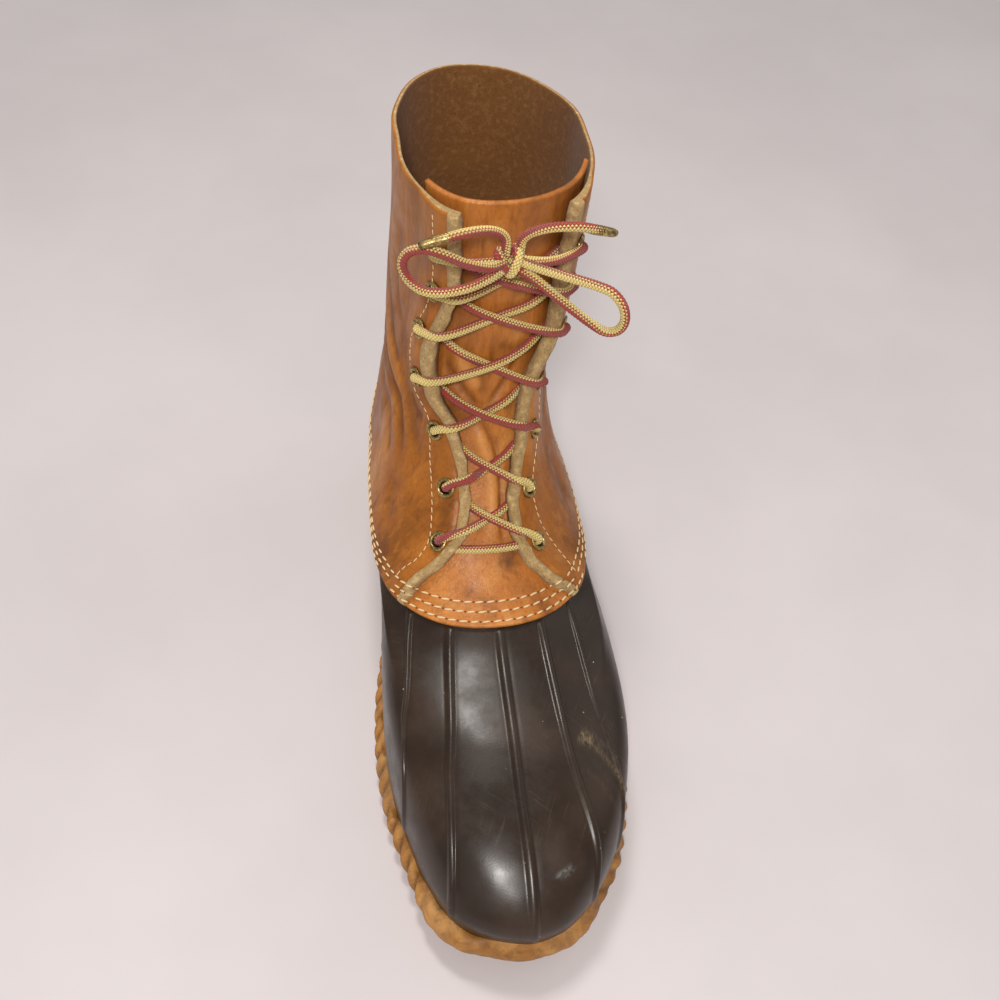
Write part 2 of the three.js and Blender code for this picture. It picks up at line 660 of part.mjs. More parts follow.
/** Insole lying on the sole inside the rubber shell. */
function insoleSolid() {
  const inset = FEATHER_INSET + RUBBER + 2 * SEAT_GAP;
  const thickness = 4;
  const rounds = evenRounds(48);
  const loopAt = (z) => rounds.map((round) => {
    const [x, y] = outlinePoint(round, inset);
    return new THREE.Vector3(x, y, featherZ(y) + z);
  });
  const low = loopAt(0);
  const high = loopAt(thickness);
  const body = new Body();
  body.strip(low, high, true);
  capLoop(body, low, false);
  capLoop(body, high, true);
  return body.solid();
}

const tongueOut = (up) => leatherOut(up) - LEATHER - 2 * GAP;

/** Tongue behind the throat. */
function tongueSolid(room) {
  const columns = 12;
  const ups = [TONGUE_TUCK, 4.9, 5.2, 5.5, 5.8, 6.1, 6.4, 6.75, 7.15, 7.6, TONGUE_TOP];
  const rowAt = (up, out) => {
    const half = lerp(TONGUE_HALF_LOW, TONGUE_HALF_TOP, smooth(TONGUE_TUCK, TONGUE_WIDE_UP, up));
    const middle = (throatMedial(up) + throatLateral(up)) / 2;
    return Array.from({ length: columns + 1 }, (_, i) =>
      skinPoint(middle + lerp(-half, half, i / columns), up, out));
  };
  const outer = ups.map((up) => rowAt(up, tongueOut(up)));
  const inner = ups.map((up) => rowAt(up, tongueOut(up) - LEATHER));
  return wallBody(outer, inner, false).solid().subtract(room);
}

/** Point over an eyelet where a lace comes out of it. */
function overEyelet(eyelet) {
  return eyelet.point.clone().addScaledVector(eyelet.axis, GAP + EYELET_LIP + LACE_CLEARANCE + LACE / 2);
}

/** A strand of lace from an eyelet, over its cut edge and the tongue, to just short of the other cut edge. */
function strandPoints(side, row, over) {
  const from = eyeletPlace(side, row);
  const to = eyeletPlace(-side, row + 1);
  const lift = LACE_CLEARANCE + LACE / 2;
  const edgeFrom = side > 0 ? throatLateral : throatMedial;
  const edgeTo = side > 0 ? throatMedial : throatLateral;
  const at = (share) => ({ round: lerp(from.round, to.round, share), up: lerp(from.up, to.up, share) });
  const shareWhere = (edge) => {
    let share = 0;
    while (share < 1 && side * (at(share).round - edge(at(share).up)) > 0) share += 0.002;
    return share;
  };
  const leave = shareWhere(edgeFrom);
  const arrive = shareWhere(edgeTo);
  const onTongue = (share, more) => {
    const { round, up } = at(share);
    return skinPoint(round, up, tongueOut(up) + lift + more);
  };
  const beforeEdge = facingPlace(side, at(leave * 0.55).up, EYELET_FROM_EDGE * 0.45);
  const edgeUp = at(leave).up;
  const edgeOut = leatherOut(edgeUp) + facingRaise(edgeUp) + throatFlare(edgeUp) + lift;
  const crossLift = over ? LACE - GAP : 0;
  return [
    overEyelet(from),
    skinPoint(beforeEdge.round, beforeEdge.up, beforeEdge.out + lift),
    skinPoint(at(leave * 1.04).round, edgeUp, edgeOut + 2 * GAP),
    onTongue(lerp(leave, arrive, 0.5), crossLift),
    onTongue(lerp(leave, arrive, 0.76), crossLift * 0.3),
  ];
}

/** Crossing of the two strands between one pair of eyelets and the next. */
function crossSolid(row) {
  const lateralOver = row !== 3;
  const strands = SIDES.map(({ side }) => {
    const over = (side > 0) === lateralOver;
    return tubeSolid(strandPoints(side, row, over), LACE / 2, 6);
  });
  return strands[0].add(strands[1]);
}

/** Straight bar of lace across the plug, just under the lowest eyelets. */
function barSolid() {
  const up = EYELET_ROWS[0] - 0.02;
  const out = leatherOut(up) + GAP + LACE / 2;
  const points = [0.16, 0.5, 0.84].map((share) =>
    skinPoint(lerp(throatMedial(up), throatLateral(up), share), up, out + 0.3));
  return tubeSolid(points, LACE / 2, 4);
}

const knotCentre = skinPoint(KNOT_ROUND, KNOT_UP, KNOT_OUT);

/** The knot's ball, grown on all sides by more. */
function ballSolid(more) {
  const ball = new THREE.SphereGeometry(1, 8, 6);
  ball.scale(...KNOT_SIZE.map((radius) => radius + more));
  ball.translate(knotCentre.x, knotCentre.y, knotCentre.z);
  const body = new Body();
  const position = ball.getAttribute('position');
  const index = ball.getIndex();
  const at = (i) => new THREE.Vector3().fromBufferAttribute(position, index.getX(i));
  for (let i = 0; i < index.count; i += 3) body.triangle(at(i), at(i + 1), at(i + 2));
  return body.solid();
}

/** Knot with the two strands that come to it from the top eyelets. */
function knotSolid() {
  let solid = ballSolid(0);
  for (const { side } of SIDES) {
    const eyelet = eyeletPlace(side, EYELET_ROWS.length - 1);
    const before = facingPlace(side, eyelet.up + 0.05, EYELET_FROM_EDGE * 0.45);
    const points = [
      overEyelet(eyelet),
      skinPoint(before.round, before.up, before.out + LACE_CLEARANCE + LACE / 2),
      skinPoint(lerp(before.round, KNOT_ROUND, 0.5), eyelet.up + 0.12, KNOT_OUT - 1),
      knotCentre.clone(),
    ];
    solid = solid.add(tubeSolid(points, LACE / 2, 5));
  }
  return solid;
}

/** A bow piece through offsets from the knot's centre, cut off at the knot's face. */
function bowSolid(offsets, segments) {
  const points = offsets.map(([x, y, z]) => knotCentre.clone().add(new THREE.Vector3(x, y, z)));
  return tubeSolid(points, LACE / 2, segments).subtract(ballSolid(GAP));
}

const boot = new THREE.Group();
const solids = {};

const room = upperSolid(GAP);
let upper = upperSolid(0);
for (const { point, axis, wall } of EYELETS) {
  const hole = EYELET_BARREL + GAP;
  const seat = EYELET_FLANGE + GAP;
  const profile = [[0, -wall - 2], [hole, -wall - 2], [hole, 0], [seat, 0], [seat, 3], [0, 3]];
  upper = upper.subtract(turnedSolid(profile, EYELET_SIDES, point, axis));
}
boot.add(meshOf('upper', upper, COLOURS.leather, 0.55));
boot.add(meshOf('rubber_bottom', rubberSolid(room), COLOURS.rubber, 0.4));
boot.add(meshOf('outsole', outsoleSolid(), COLOURS.sole, 0.7));
boot.add(meshOf('insole', insoleSolid(), COLOURS.lining, 0.9));
boot.add(meshOf('tongue', tongueSolid(room), COLOURS.plug, 0.55));

for (const { name, point, axis, wall } of EYELETS) {
  const lip = GAP + EYELET_LIP;
  const profile = [
    [EYELET_HOLE, -wall], [EYELET_BARREL, -wall], [EYELET_BARREL, GAP], [EYELET_FLANGE, GAP],
    [EYELET_FLANGE - 0.4, lip], [EYELET_HOLE, lip],
  ];
  boot.add(meshOf(name, turnedSolid(profile, EYELET_SIDES, point, axis), COLOURS.brass, 0.4, 1));
}

boot.add(meshOf('lace_bar', barSolid(), COLOURS.lace, 0.8));
for (let row = 0; row + 1 < EYELET_ROWS.length; row++) {
  boot.add(meshOf(`lace_cross_${row + 1}`, crossSolid(row), COLOURS.lace, 0.8));
}
boot.add(meshOf('lace_knot', knotSolid(), COLOURS.lace, 0.8));
boot.add(meshOf('lace_loop_outer', bowSolid(LOOP_OUTER, 13), COLOURS.lace, 0.8));
boot.add(meshOf('lace_loop_inner', bowSolid(LOOP_INNER, 13), COLOURS.lace, 0.8));
boot.add(meshOf('lace_end_outer', bowSolid(END_OUTER, 7), COLOURS.lace, 0.8));
boot.add(meshOf('lace_end_inner', bowSolid(END_INNER, 7), COLOURS.lace, 0.8));

export default boot;
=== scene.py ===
"""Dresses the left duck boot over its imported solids, and sets its floor, light and camera."""
import logging
import math
from dataclasses import dataclass
from enum import Enum
from typing import Callable, Sequence, Union

import bmesh
import bpy
import numpy as np
from mathutils import Matrix, Vector


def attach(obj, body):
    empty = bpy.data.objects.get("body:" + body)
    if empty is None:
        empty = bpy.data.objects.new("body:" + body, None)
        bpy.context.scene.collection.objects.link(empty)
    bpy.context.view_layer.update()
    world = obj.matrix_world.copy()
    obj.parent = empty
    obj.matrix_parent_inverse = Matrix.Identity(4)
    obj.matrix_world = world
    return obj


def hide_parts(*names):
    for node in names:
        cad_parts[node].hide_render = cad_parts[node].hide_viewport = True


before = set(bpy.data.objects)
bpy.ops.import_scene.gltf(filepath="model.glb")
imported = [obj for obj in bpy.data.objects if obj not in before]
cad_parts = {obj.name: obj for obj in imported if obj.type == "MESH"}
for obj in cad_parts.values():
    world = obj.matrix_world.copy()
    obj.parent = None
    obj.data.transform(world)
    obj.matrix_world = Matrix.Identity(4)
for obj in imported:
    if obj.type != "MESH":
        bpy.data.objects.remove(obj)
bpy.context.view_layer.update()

Array = np.ndarray
Place = tuple[float, float]
Socket = bpy.types.NodeSocket
Value = Union[Socket, float, tuple[float, ...]]
Inputs = dict[Union[str, int], Value]
Table = list[list[bmesh.types.BMVert]]
Layers = dict[str, bmesh.types.BMLayerItem]

MM = 0.001
LOG = logging.getLogger("boot")


class Side(Enum):
    """The two sides of the foot; the value is the sign of X."""

    OUTER = 1
    INNER = -1

    @property
    def other(self) -> "Side":
        """The side across the foot."""
        return Side.INNER if self is Side.OUTER else Side.OUTER


def smooth(low: float, high: float, x: Union[Array, float]) -> Array:
    """Smooth step from 0 at low to 1 at high.

    Args:
        low: Where the step begins.
        high: Where it ends.
        x: Places to read it at.

    Returns:
        The step's height at each place.
    """
    u = np.clip((np.asarray(x, float) - low) / (high - low), 0.0, 1.0)
    return u * u * (3.0 - 2.0 * u)


def eased(xs: Sequence[float], ys: Sequence[float], x: Union[Array, float]) -> Array:
    """Look-up of y over a rising list of x that rounds the corners of straight lines.

    Args:
        xs: Rising places.
        ys: Values there.
        x: Places to read.

    Returns:
        The values.
    """
    reach = 0.06
    shifts = (-1.0, -0.5, 0.0, 0.5, 1.0)
    return sum(np.interp(np.asarray(x, float) + reach * s, xs, ys) for s in shifts) / len(shifts)


def unit(v: Array) -> Array:
    """Rows of v at length one."""
    return v / np.maximum(np.linalg.norm(v, axis=-1, keepdims=True), 1e-12)


def run_along(points: Array) -> Array:
    """Length of the way through points, or rows of points, up to each of them."""
    steps = np.linalg.norm(np.diff(points, axis=0), axis=-1)
    return np.concatenate([np.zeros((1, *steps.shape[1:])), np.cumsum(steps, axis=0)])


@dataclass(frozen=True)
class Section:
    """One level section of the last, in shares as the solids' table gives them."""

    front: float
    back: float
    widest: float
    front_z: float
    back_z: float
    side_z: float
    outer: float
    inner: float
    front_square: float
    back_square: float
    waist: float


@dataclass(frozen=True)
class Last:
    """The surface that every piece follows, in millimetres.

    A place on it has round (0 toe line, 0.25 outer side, 0.5 heel) and up, which counts the sections from the
    sole's feather edge (0) to the collar (8).
    """

    length: float = 304.0
    ball_width: float = 114.0
    height: float = 230.0
    heel_back: float = 42.0
    toe_spring: float = 9.0
    spring_share: float = 0.3
    arch_rise: float = 4.5
    arch_front: float = -104.0
    arch_back: float = -25.0
    forefoot_thickness: float = 11.0
    heel_lift: float = 13.0
    lift_front: float = -150.0
    lift_back: float = -10.0
    feather_inset: float = 4.5
    wall_inset: float = 3.5
    wall_height: float = 14.0
    outline: tuple[tuple[float, float, float], ...] = (
        (0.000, 0.000, 0.000), (0.010, 0.119, 0.128), (0.030, 0.220, 0.213), (0.056, 0.290, 0.283),
        (0.100, 0.347, 0.367), (0.150, 0.388, 0.430), (0.243, 0.441, 0.500), (0.330, 0.454, 0.530),
        (0.420, 0.436, 0.526), (0.520, 0.388, 0.490), (0.620, 0.352, 0.440), (0.735, 0.345, 0.394),
        (0.850, 0.362, 0.375), (0.935, 0.305, 0.312), (0.985, 0.165, 0.165), (1.000, 0.000, 0.000),
    )
    sections: tuple[Section, ...] = (
        Section(0.072, 0.980, 0.375, 0.209, 0.191, 0.200, 0.487, 0.417, 2.3, 2.8, 0.12),
        Section(0.227, 0.982, 0.441, 0.270, 0.252, 0.248, 0.443, 0.399, 2.2, 2.8, 0.05),
        Section(0.405, 0.984, 0.582, 0.304, 0.304, 0.274, 0.420, 0.395, 2.2, 2.8, 0.03),
        Section(0.530, 0.979, 0.697, 0.422, 0.400, 0.374, 0.351, 0.356, 2.2, 2.5, 0.00),
        Section(0.625, 0.970, 0.789, 0.591, 0.539, 0.548, 0.300, 0.311, 2.2, 2.3, 0.00),
        Section(0.658, 0.980, 0.816, 0.795, 0.774, 0.783, 0.385, 0.289, 2.2, 2.2, 0.00),
        Section(0.651, 0.997, 0.816, 1.000, 0.991, 0.991, 0.392, 0.289, 2.2, 2.2, 0.00),
    )

    def behind_tip(self, share: float) -> float:
        """Y of a place that lies a share of the length behind the toe tip."""
        return self.heel_back - self.length + share * self.length

    def loop_point(self, rounds: Array) -> Array:
        """Points of the sole's outline.

        Args:
            rounds: Places round the outline.

        Returns:
            Their X and Y, one row each.
        """
        rows = self.outline
        lateral = [(row[2] * self.ball_width, self.behind_tip(row[0])) for row in rows]
        medial = [(-row[1] * self.ball_width, self.behind_tip(row[0])) for row in reversed(rows[1:-1])]
        loop = np.array(lateral + medial)
        count = len(loop)
        place = (rounds % 1.0) * count
        i = np.floor(place).astype(int)
        f = (place - i)[:, None]
        p0, p1, p2, p3 = (loop[(i + k) % count] for k in (-1, 0, 1, 2))
        return 0.5 * (2 * p1 + (p2 - p0) * f + (2 * p0 - 5 * p1 + 4 * p2 - p3) * f**2
                      + (3 * p1 - p0 - 3 * p2 + p3) * f**3)

    def outline_point(self, rounds: Array, inset: Union[Array, float]) -> Array:
        """Points of the sole's outline, moved in.

        Args:
            rounds: Places round the outline.
            inset: How far in each lies.

        Returns:
            Their X and Y, one row each.
        """
        step = 1e-4
        ahead = unit(self.loop_point(rounds + step) - self.loop_point(rounds - step))
        inward = np.stack([-ahead[:, 1], ahead[:, 0]], 1)
        return self.loop_point(rounds) + inward * np.broadcast_to(inset, rounds.shape)[:, None]

    def half_widths(self, along: Array) -> tuple[Array, Array]:
        """The sole's reach to the outer and to the inner side, at shares of the length from the toe tip."""
        shares, inner, outer = zip(*self.outline)
        return tuple(np.interp(along, shares, reach) * self.ball_width for reach in (outer, inner))

    def spring(self, y: Array) -> Array:
        """Rise of the toe at each Y."""
        share = (y - self.behind_tip(0.0)) / self.length
        return self.toe_spring * np.clip(1 - share / self.spring_share, 0, 1) ** 2

    def arch_share(self, y: Array) -> Array:
        """How far along the arch each Y lies, from 0 to 1."""
        return np.clip((y - self.arch_front) / (self.arch_back - self.arch_front), 0, 1)

    def tread_z(self, y: Array) -> Array:
        """Height of the tread at each Y."""
        return self.spring(y) + self.arch_rise * np.sin(math.pi * self.arch_share(y)) ** 2

    def feather_z(self, y: Array) -> Array:
        """Height where the rubber wall meets the sole at each Y."""
        lift = self.heel_lift * smooth(self.lift_front, self.lift_back, y)
        return self.spring(y) + self.forefoot_thickness + lift

    def section_point(self, section: Section, rounds: Array) -> Array:
        """Points of one section.

        Args:
            section: The section.
            rounds: Places round it.

        Returns:
            The points, one row each.
        """
        c = np.cos(2 * math.pi * rounds)
        s = np.sin(2 * math.pi * rounds)
        front = c > 0
        power = 2 / np.where(front, section.front_square, section.back_square)
        ca = np.abs(c) ** power
        sa = np.abs(s) ** power
        side = np.where(s > 0, 0.7, 1.0)
        pinch = np.where(front, 0.0, section.waist * side * np.sin(math.pi * np.clip(ca / 0.95, 0, 1)) ** 2)
        half = np.where(s > 0, section.outer, section.inner) * self.ball_width
        reach = np.where(front, section.front, section.back) - section.widest
        rise = np.where(front, section.front_z, section.back_z) - section.side_z
        return np.stack([
            np.sign(s) * half * sa * (1 - pinch),
            self.behind_tip(section.widest) + reach * self.length * ca,
            (section.side_z + rise * c * c) * self.height,
        ], 1)

    def columns(self, rounds: Array) -> Array:
        """The points of every row at each place round the last, as rows by places by three."""
        feather = self.outline_point(rounds, self.feather_inset)
        wall = self.outline_point(rounds, self.wall_inset)
        z = self.feather_z(feather[:, 1])
        rows = [np.column_stack([feather, z]), np.column_stack([wall, z + self.wall_height])]
        return np.array(rows + [self.section_point(section, rounds) for section in self.sections])

    def point(self, rounds: Array, ups: Array) -> Array:
        """Points of the surface.

        Args:
            rounds: Places round the last.
            ups: Heights on it, as many.

        Returns:
            The points, one row each.
        """
        rows = self.columns(rounds)
        count = len(rows)
        p = np.concatenate([2 * rows[:1] - rows[1:2], rows, 2 * rows[-1:] - rows[-2:-1]])
        gaps = np.sqrt(np.linalg.norm(np.diff(p, axis=0), axis=2))
        knots = np.concatenate([np.zeros((1, len(rounds))), np.cumsum(gaps, axis=0)])
        i = np.clip(np.floor(ups).astype(int), 0, count - 2)
        j = np.arange(len(rounds))
        q = [p[i + k, j] for k in range(4)]
        t = [knots[i + k, j] for k in range(4)]
        x = t[1] + (t[2] - t[1]) * (ups - i)

        def mix(a: Array, b: Array, ta: Array, tb: Array) -> Array:
            """Straight blend of a and b, whose knots are ta and tb, at x."""
            return a + (b - a) * ((x - ta) / (tb - ta))[:, None]

        a1, a2, a3 = (mix(q[k], q[k + 1], t[k], t[k + 1]) for k in range(3))
        b1 = mix(a1, a2, t[0], t[2])
        b2 = mix(a2, a3, t[1], t[3])
        return mix(b1, b2, t[1], t[2])

    def normal(self, rounds: Array, ups: Array) -> Array:
        """Outward normals of the surface, one row each."""
        e = 2e-3
        across = self.point(rounds + e, ups) - self.point(rounds - e, ups)
        rise = self.point(rounds, ups + e) - self.point(rounds, ups - e)
        return unit(np.cross(across, rise))

    def skin(self, rounds: Union[Array, float], ups: Union[Array, float],
             out: Union[Array, float]) -> Array:
        """Points that stand off the surface.

        Args:
            rounds: Places round the last.
            ups: Heights on it.
            out: How far each stands off.

        Returns:
            The points, one row each.
        """
        rounds, ups, out = (np.array(a, float) for a in np.broadcast_arrays(
            np.atleast_1d(rounds), np.atleast_1d(ups), np.atleast_1d(out)))
        return self.point(rounds, ups) + self.normal(rounds, ups) * out[:, None]

    def normal_at(self, round_: float, up: float) -> Array:
        """Outward normal at one place."""
        return self.normal(np.array([round_]), np.array([up]))[0]

    def step(self, rounds: Union[Array, float], ups: Union[Array, float],
             distance: Union[Array, float]) -> Array:
        """The places round the last that lie a distance on, at the same height.

        Args:
            rounds: Places to start from.
            ups: Heights on the last.
            distance: Millimetres to go.

        Returns:
            The places.
        """
        place, ups, distance = (np.array(a, float) for a in np.broadcast_arrays(
            np.atleast_1d(rounds), np.atleast_1d(ups), np.atleast_1d(distance)))
        steps = 6
        for _ in range(steps):
            ahead = self.point(place + 1e-3, ups) - self.point(place - 1e-3, ups)
            place = place + distance / steps / (np.linalg.norm(ahead, axis=1) / 2e-3)
        return place


@dataclass(frozen=True)
class Fit:
    """Walls, steps and places that the pieces share, in millimetres or places up the last."""

    leather: float = 2.2
    rubber: float = 2.2
    gap: float = 0.3
    lap_step: float = 2.5
    settled_step: float = 1.0
    edge: float = 4.0
    rubber_top: float = 4.4
    plug_top: float = 4.85
    collar: float = 8.0
    facing_reach: float = 24.0
    facing_raise_on_plug: float = 4.2
    tongue_top: float = 8.06
    lace: float = 3.6
    weave: float = 0.3
    plait: float = 0.66
    sway: float = 0.45
    eyelet_from_edge: float = 9.4
    eyelet_skew: float = 0.03
    eyelet_rows: tuple[float, ...] = (4.75, 5.25, 5.75, 6.21, 6.68, 7.10, 7.51)
    throat_up: tuple[float, ...] = (
        4.00, 4.30, 4.60, 4.82, 5.15, 5.46, 5.70, 5.93, 6.10, 6.35, 6.58, 6.85, 7.20, 8.00)
    throat_inner: tuple[float, ...] = (
        0.138, 0.106, 0.058, 0.030, 0.021, 0.024, 0.034, 0.046, 0.069, 0.078, 0.080, 0.062, 0.044, 0.056)
    throat_outer: tuple[float, ...] = (
        0.132, 0.080, 0.045, 0.033, 0.031, 0.045, 0.057, 0.055, 0.060, 0.072, 0.095, 0.092, 0.090, 0.100)
    throat_flare: tuple[float, ...] = (0.0, 0.0, 0.0, 0.3, 1.0, 1.2, 1.8, 2.4, 3.0, 4.0, 4.0, 3.6, 3.0, 3.0)

    def leather_out(self, ups: Union[Array, float]) -> Array:
        """How far the leather's outer face stands off the last."""
        return self.lap_step + (self.settled_step - self.lap_step) * smooth(self.edge, self.edge + 1.2, ups)

    def facing_raise(self, ups: Union[Array, float]) -> Array:
        """How far the facing's doubled edge stands off the leather."""
        blend = smooth(self.plug_top - 0.1, self.plug_top + 0.35, ups)
        return self.facing_raise_on_plug + (self.leather - self.facing_raise_on_plug) * blend

    def flare(self, ups: Union[Array, float]) -> Array:
        """How far the cut edge is lifted off the foot."""
        return eased(self.throat_up, self.throat_flare, ups)

    def throat(self, side: Side, ups: Union[Array, float]) -> Array:
        """Where the cut edge of one side lies round the last."""
        table = self.throat_outer if side is Side.OUTER else self.throat_inner
        return side.value * eased(self.throat_up, table, ups)

    def own_throat(self, outer_side: Array, ups: Array) -> Array:
        """Where the cut edge of each place's own side lies round the last."""
        return np.where(outer_side, self.throat(Side.OUTER, ups), self.throat(Side.INNER, ups))

    def tongue_out(self, ups: Union[Array, float]) -> Array:
        """How far the tongue's outer face stands off the last."""
        return self.leather_out(ups) - self.leather - 2 * self.gap


LAST = Last()
FIT = Fit()


@dataclass(frozen=True)
class Eyelet:
    """An eyelet's seat on the facing."""

    side: Side
    row: int
    round: float
    up: float
    wall: float
    point: Array
    axis: Array


def facing_place(side: Side, up: float, distance: float) -> tuple[float, float, float, Array]:
    """A place on the facing's outer face, some way back from its cut edge.

    Args:
        side: Which facing.
        up: Height on the last.
        distance: Millimetres back from the cut edge.

    Returns:
        Place round the last, stand-off, wall thickness and point.
    """
    round_ = float(LAST.step(FIT.throat(side, up), up, side.value * distance)[0])
    near = 1.0 - float(smooth(0, FIT.facing_reach, distance))
    out = float(FIT.leather_out(up) + (FIT.facing_raise(up) + FIT.flare(up)) * near)
    wall = float(FIT.leather + FIT.facing_raise(up) * near)
    return round_, out, wall, LAST.skin(round_, up, out)[0]


def eyelet_seat(side: Side, row: int) -> Eyelet:
    """Where an eyelet sits, square to the facing.

    Args:
        side: Which facing.
        row: Row from the bottom, from 0.

    Returns:
        The seat.
    """
    up, back, reach = FIT.eyelet_rows[row] - side.value * FIT.eyelet_skew, FIT.eyelet_from_edge, 4.5
    round_, _, wall, point = facing_place(side, up, back)
    across = facing_place(side, up, back + reach)[3] - facing_place(side, up, back - reach)[3]
    rise = facing_place(side, up + 0.1, back)[3] - facing_place(side, up - 0.1, back)[3]
    return Eyelet(side, row, round_, up, wall, point, unit(np.cross(across, rise) * side.value))


EYELETS = [eyelet_seat(side, row) for side in Side for row in range(len(FIT.eyelet_rows))]


def seat(side: Side, row: int) -> Eyelet:
    """The eyelet of one side and row."""
    return next(e for e in EYELETS if e.side is side and e.row == row)


def line_gap(points: Array, line: Array) -> tuple[Array, Array]:
    """How far points lie from a line.

    Args:
        points: Points, one row each.
        line: Points of the line.

    Returns:
        The gap of each point, and the share of the line where it is least.
    """
    a = line[:-1]
    d = line[1:] - a
    gaps, shares = [], []
    for start in range(0, len(points), 6000):
        part = points[start:start + 6000, None]
        share = np.clip(((part - a) * d).sum(2) / (d * d).sum(1), 0, 1)
        gap = np.linalg.norm(part - a - share[:, :, None] * d, axis=2)
        best = gap.argmin(1)
        rows = np.arange(len(best))
        gaps.append(gap[rows, best])
        shares.append((best + share[rows, best]) / len(a))
    return np.concatenate(gaps), np.concatenate(shares)


def edge_gap(points: Array, outer_side: Array) -> Array:
    """How far points on the last lie from the cut edge of their own side, the shortest way.

    Args:
        points: Points, one row each.
        outer_side: Whether each lies on the outer side.

    Returns:
        The gaps.
    """
    ups = np.linspace(FIT.edge - 0.4, FIT.collar + 0.4, 120)
    outer = line_gap(points, LAST.point(FIT.throat(Side.OUTER, ups), ups))[0]
    inner = line_gap(points, LAST.point(FIT.throat(Side.INNER, ups), ups))[0]
    return np.where(outer_side, outer, inner)


@dataclass(frozen=True)
class Fold:
    """A soft trough through places on the last, in millimetres; a ridge has a minus depth."""

    places: tuple[Place, ...]
    width: float
    depth: float

    def strength(self, points: Array) -> Array:
        """How much of the fold reaches each point, from 0 to 1.

        Args:
            points: Points, one row each.

        Returns:
            One value for each.
        """
        rounds, ups = np.array(self.places).T
        fine = np.linspace(0, len(rounds) - 1, 6 * (len(rounds) - 1) + 1)
        index = np.arange(len(rounds))
        line = LAST.skin(np.interp(fine, index, rounds), np.interp(fine, index, ups), 1.0)
        gaps, along = line_gap(points, line)
        ends = smooth(-0.02, 0.22, along) * (1 - smooth(0.78, 1.02, along))
        return np.exp(-((gaps / self.width) ** 2)) * ends


def fold_relief(folds: Sequence[Fold], points: Array) -> tuple[Array, Array]:
    """What a set of folds does to points.

    Args:
        folds: The folds.
        points: Points, one row each.

    Returns:
        How far each point moves outward, and how deep in a trough it lies, from 0 to 1.
    """
    move = np.zeros(len(points))
    trough = np.zeros(len(points))
    for fold in folds:
        reach = fold.strength(points)
        move -= fold.depth * reach
        if fold.depth > 0:
            trough = np.maximum(trough, reach * min(1.0, fold.depth) * min(1.0, (2.4 / fold.width) ** 1.5))
    return move, trough


def wander(places: Array, scale: float, seed: int) -> Array:
    """Slow unevenness from -1 to 1 that repeats the same way each run.

    Args:
        places: Points, one row each.
        scale: Millimetres from one swell to the next.
        seed: Which pattern.

    Returns:
        One value for each point.
    """
    source = np.random.default_rng(seed)
    total = np.zeros(len(places))
    for _ in range(6):
        way = unit(source.normal(size=3)) * 2 * math.pi / (scale * source.uniform(0.7, 1.6))
        total += np.sin(places @ way + source.uniform(0, 2 * math.pi))
    return total / 3.0


def curve_through(points: Sequence[Sequence[float]], spacing: float) -> Array:
    """Even points along a smooth curve through a few points.

    Args:
        points: The points it goes through.
        spacing: Millimetres between the even points.

    Returns:
        The even points, one row each.
    """
    given = np.array(points, float)
    p = np.concatenate([2 * given[:1] - given[1:2], given, 2 * given[-1:] - given[-2:-1]])
    fine = []
    for k in range(len(given) - 1):
        q = p[k:k + 4]
        t = np.concatenate([[0.0], np.cumsum(np.sqrt(np.linalg.norm(np.diff(q, axis=0), axis=1)))])
        x = np.linspace(t[1], t[2], 40, endpoint=False)[:, None]
        a = [q[m] + (q[m + 1] - q[m]) * (x - t[m]) / (t[m + 1] - t[m]) for m in range(3)]
        b = [a[m] + (a[m + 1] - a[m]) * (x - t[m]) / (t[m + 2] - t[m]) for m in range(2)]
        fine.append(b[0] + (b[1] - b[0]) * (x - t[1]) / (t[2] - t[1]))
    line = np.concatenate(fine + [given[-1:]])
    run = run_along(line)
    count = max(2, int(round(run[-1] / spacing)) + 1)
    return np.stack([np.interp(np.linspace(0, run[-1], count), run, line[:, k]) for k in range(3)], 1)


def frames_along(line: Array, facing: Array) -> tuple[Array, Array]:
    """Two directions across a line at each of its points, turned softly so that the first faces one way.

    Args:
        line: Points of the line.
        facing: The way that the first of the two faces, where it can.

    Returns:
        The two directions, one row for each point.
    """
    pull = 0.16
    tangent = unit(np.gradient(line, axis=0))
    wanted = facing - tangent * (tangent @ facing)[:, None]
    side = np.empty_like(line)
    side[0] = unit(wanted[0])
    for k in range(1, len(line)):
        carried = side[k - 1] - tangent[k] * (side[k - 1] @ tangent[k])
        side[k] = unit(carried + wanted[k] * pull)
    return side, np.cross(tangent, side)


def new_layers(bm: bmesh.types.BMesh, names: Sequence[str]) -> Layers:
    """Float layers on a mesh's vertices, by name."""
    return {name: bm.verts.layers.float.new(name) for name in names}


def lay_grid(bm: bmesh.types.BMesh, points: Array, closed: bool) -> Table:
    """A grid sheet laid through rows of points.

    Args:
        bm: Mesh to add to.
        points: Rows by columns by three, in millimetres; it faces the side that the columns turn round.
        closed: Whether the last column is welded to the first.

    Returns:
        The vertices by row and column.
    """
    rows, columns = points.shape[:2]
    made = bmesh.ops.create_grid(bm, x_segments=columns - 1, y_segments=rows - 1, size=1.0)
    ordered = sorted(made["verts"], key=lambda v: (round(v.co.y, 5), round(v.co.x, 5)))
    table = [ordered[j * columns:(j + 1) * columns] for j in range(rows)]
    for line, places in zip(table, points * MM):
        for vert, place in zip(line, places):
            vert.co = place
    if closed:
        bmesh.ops.weld_verts(bm, targetmap={line[-1]: line[0] for line in table})
        table = [line[:-1] for line in table]
    return table


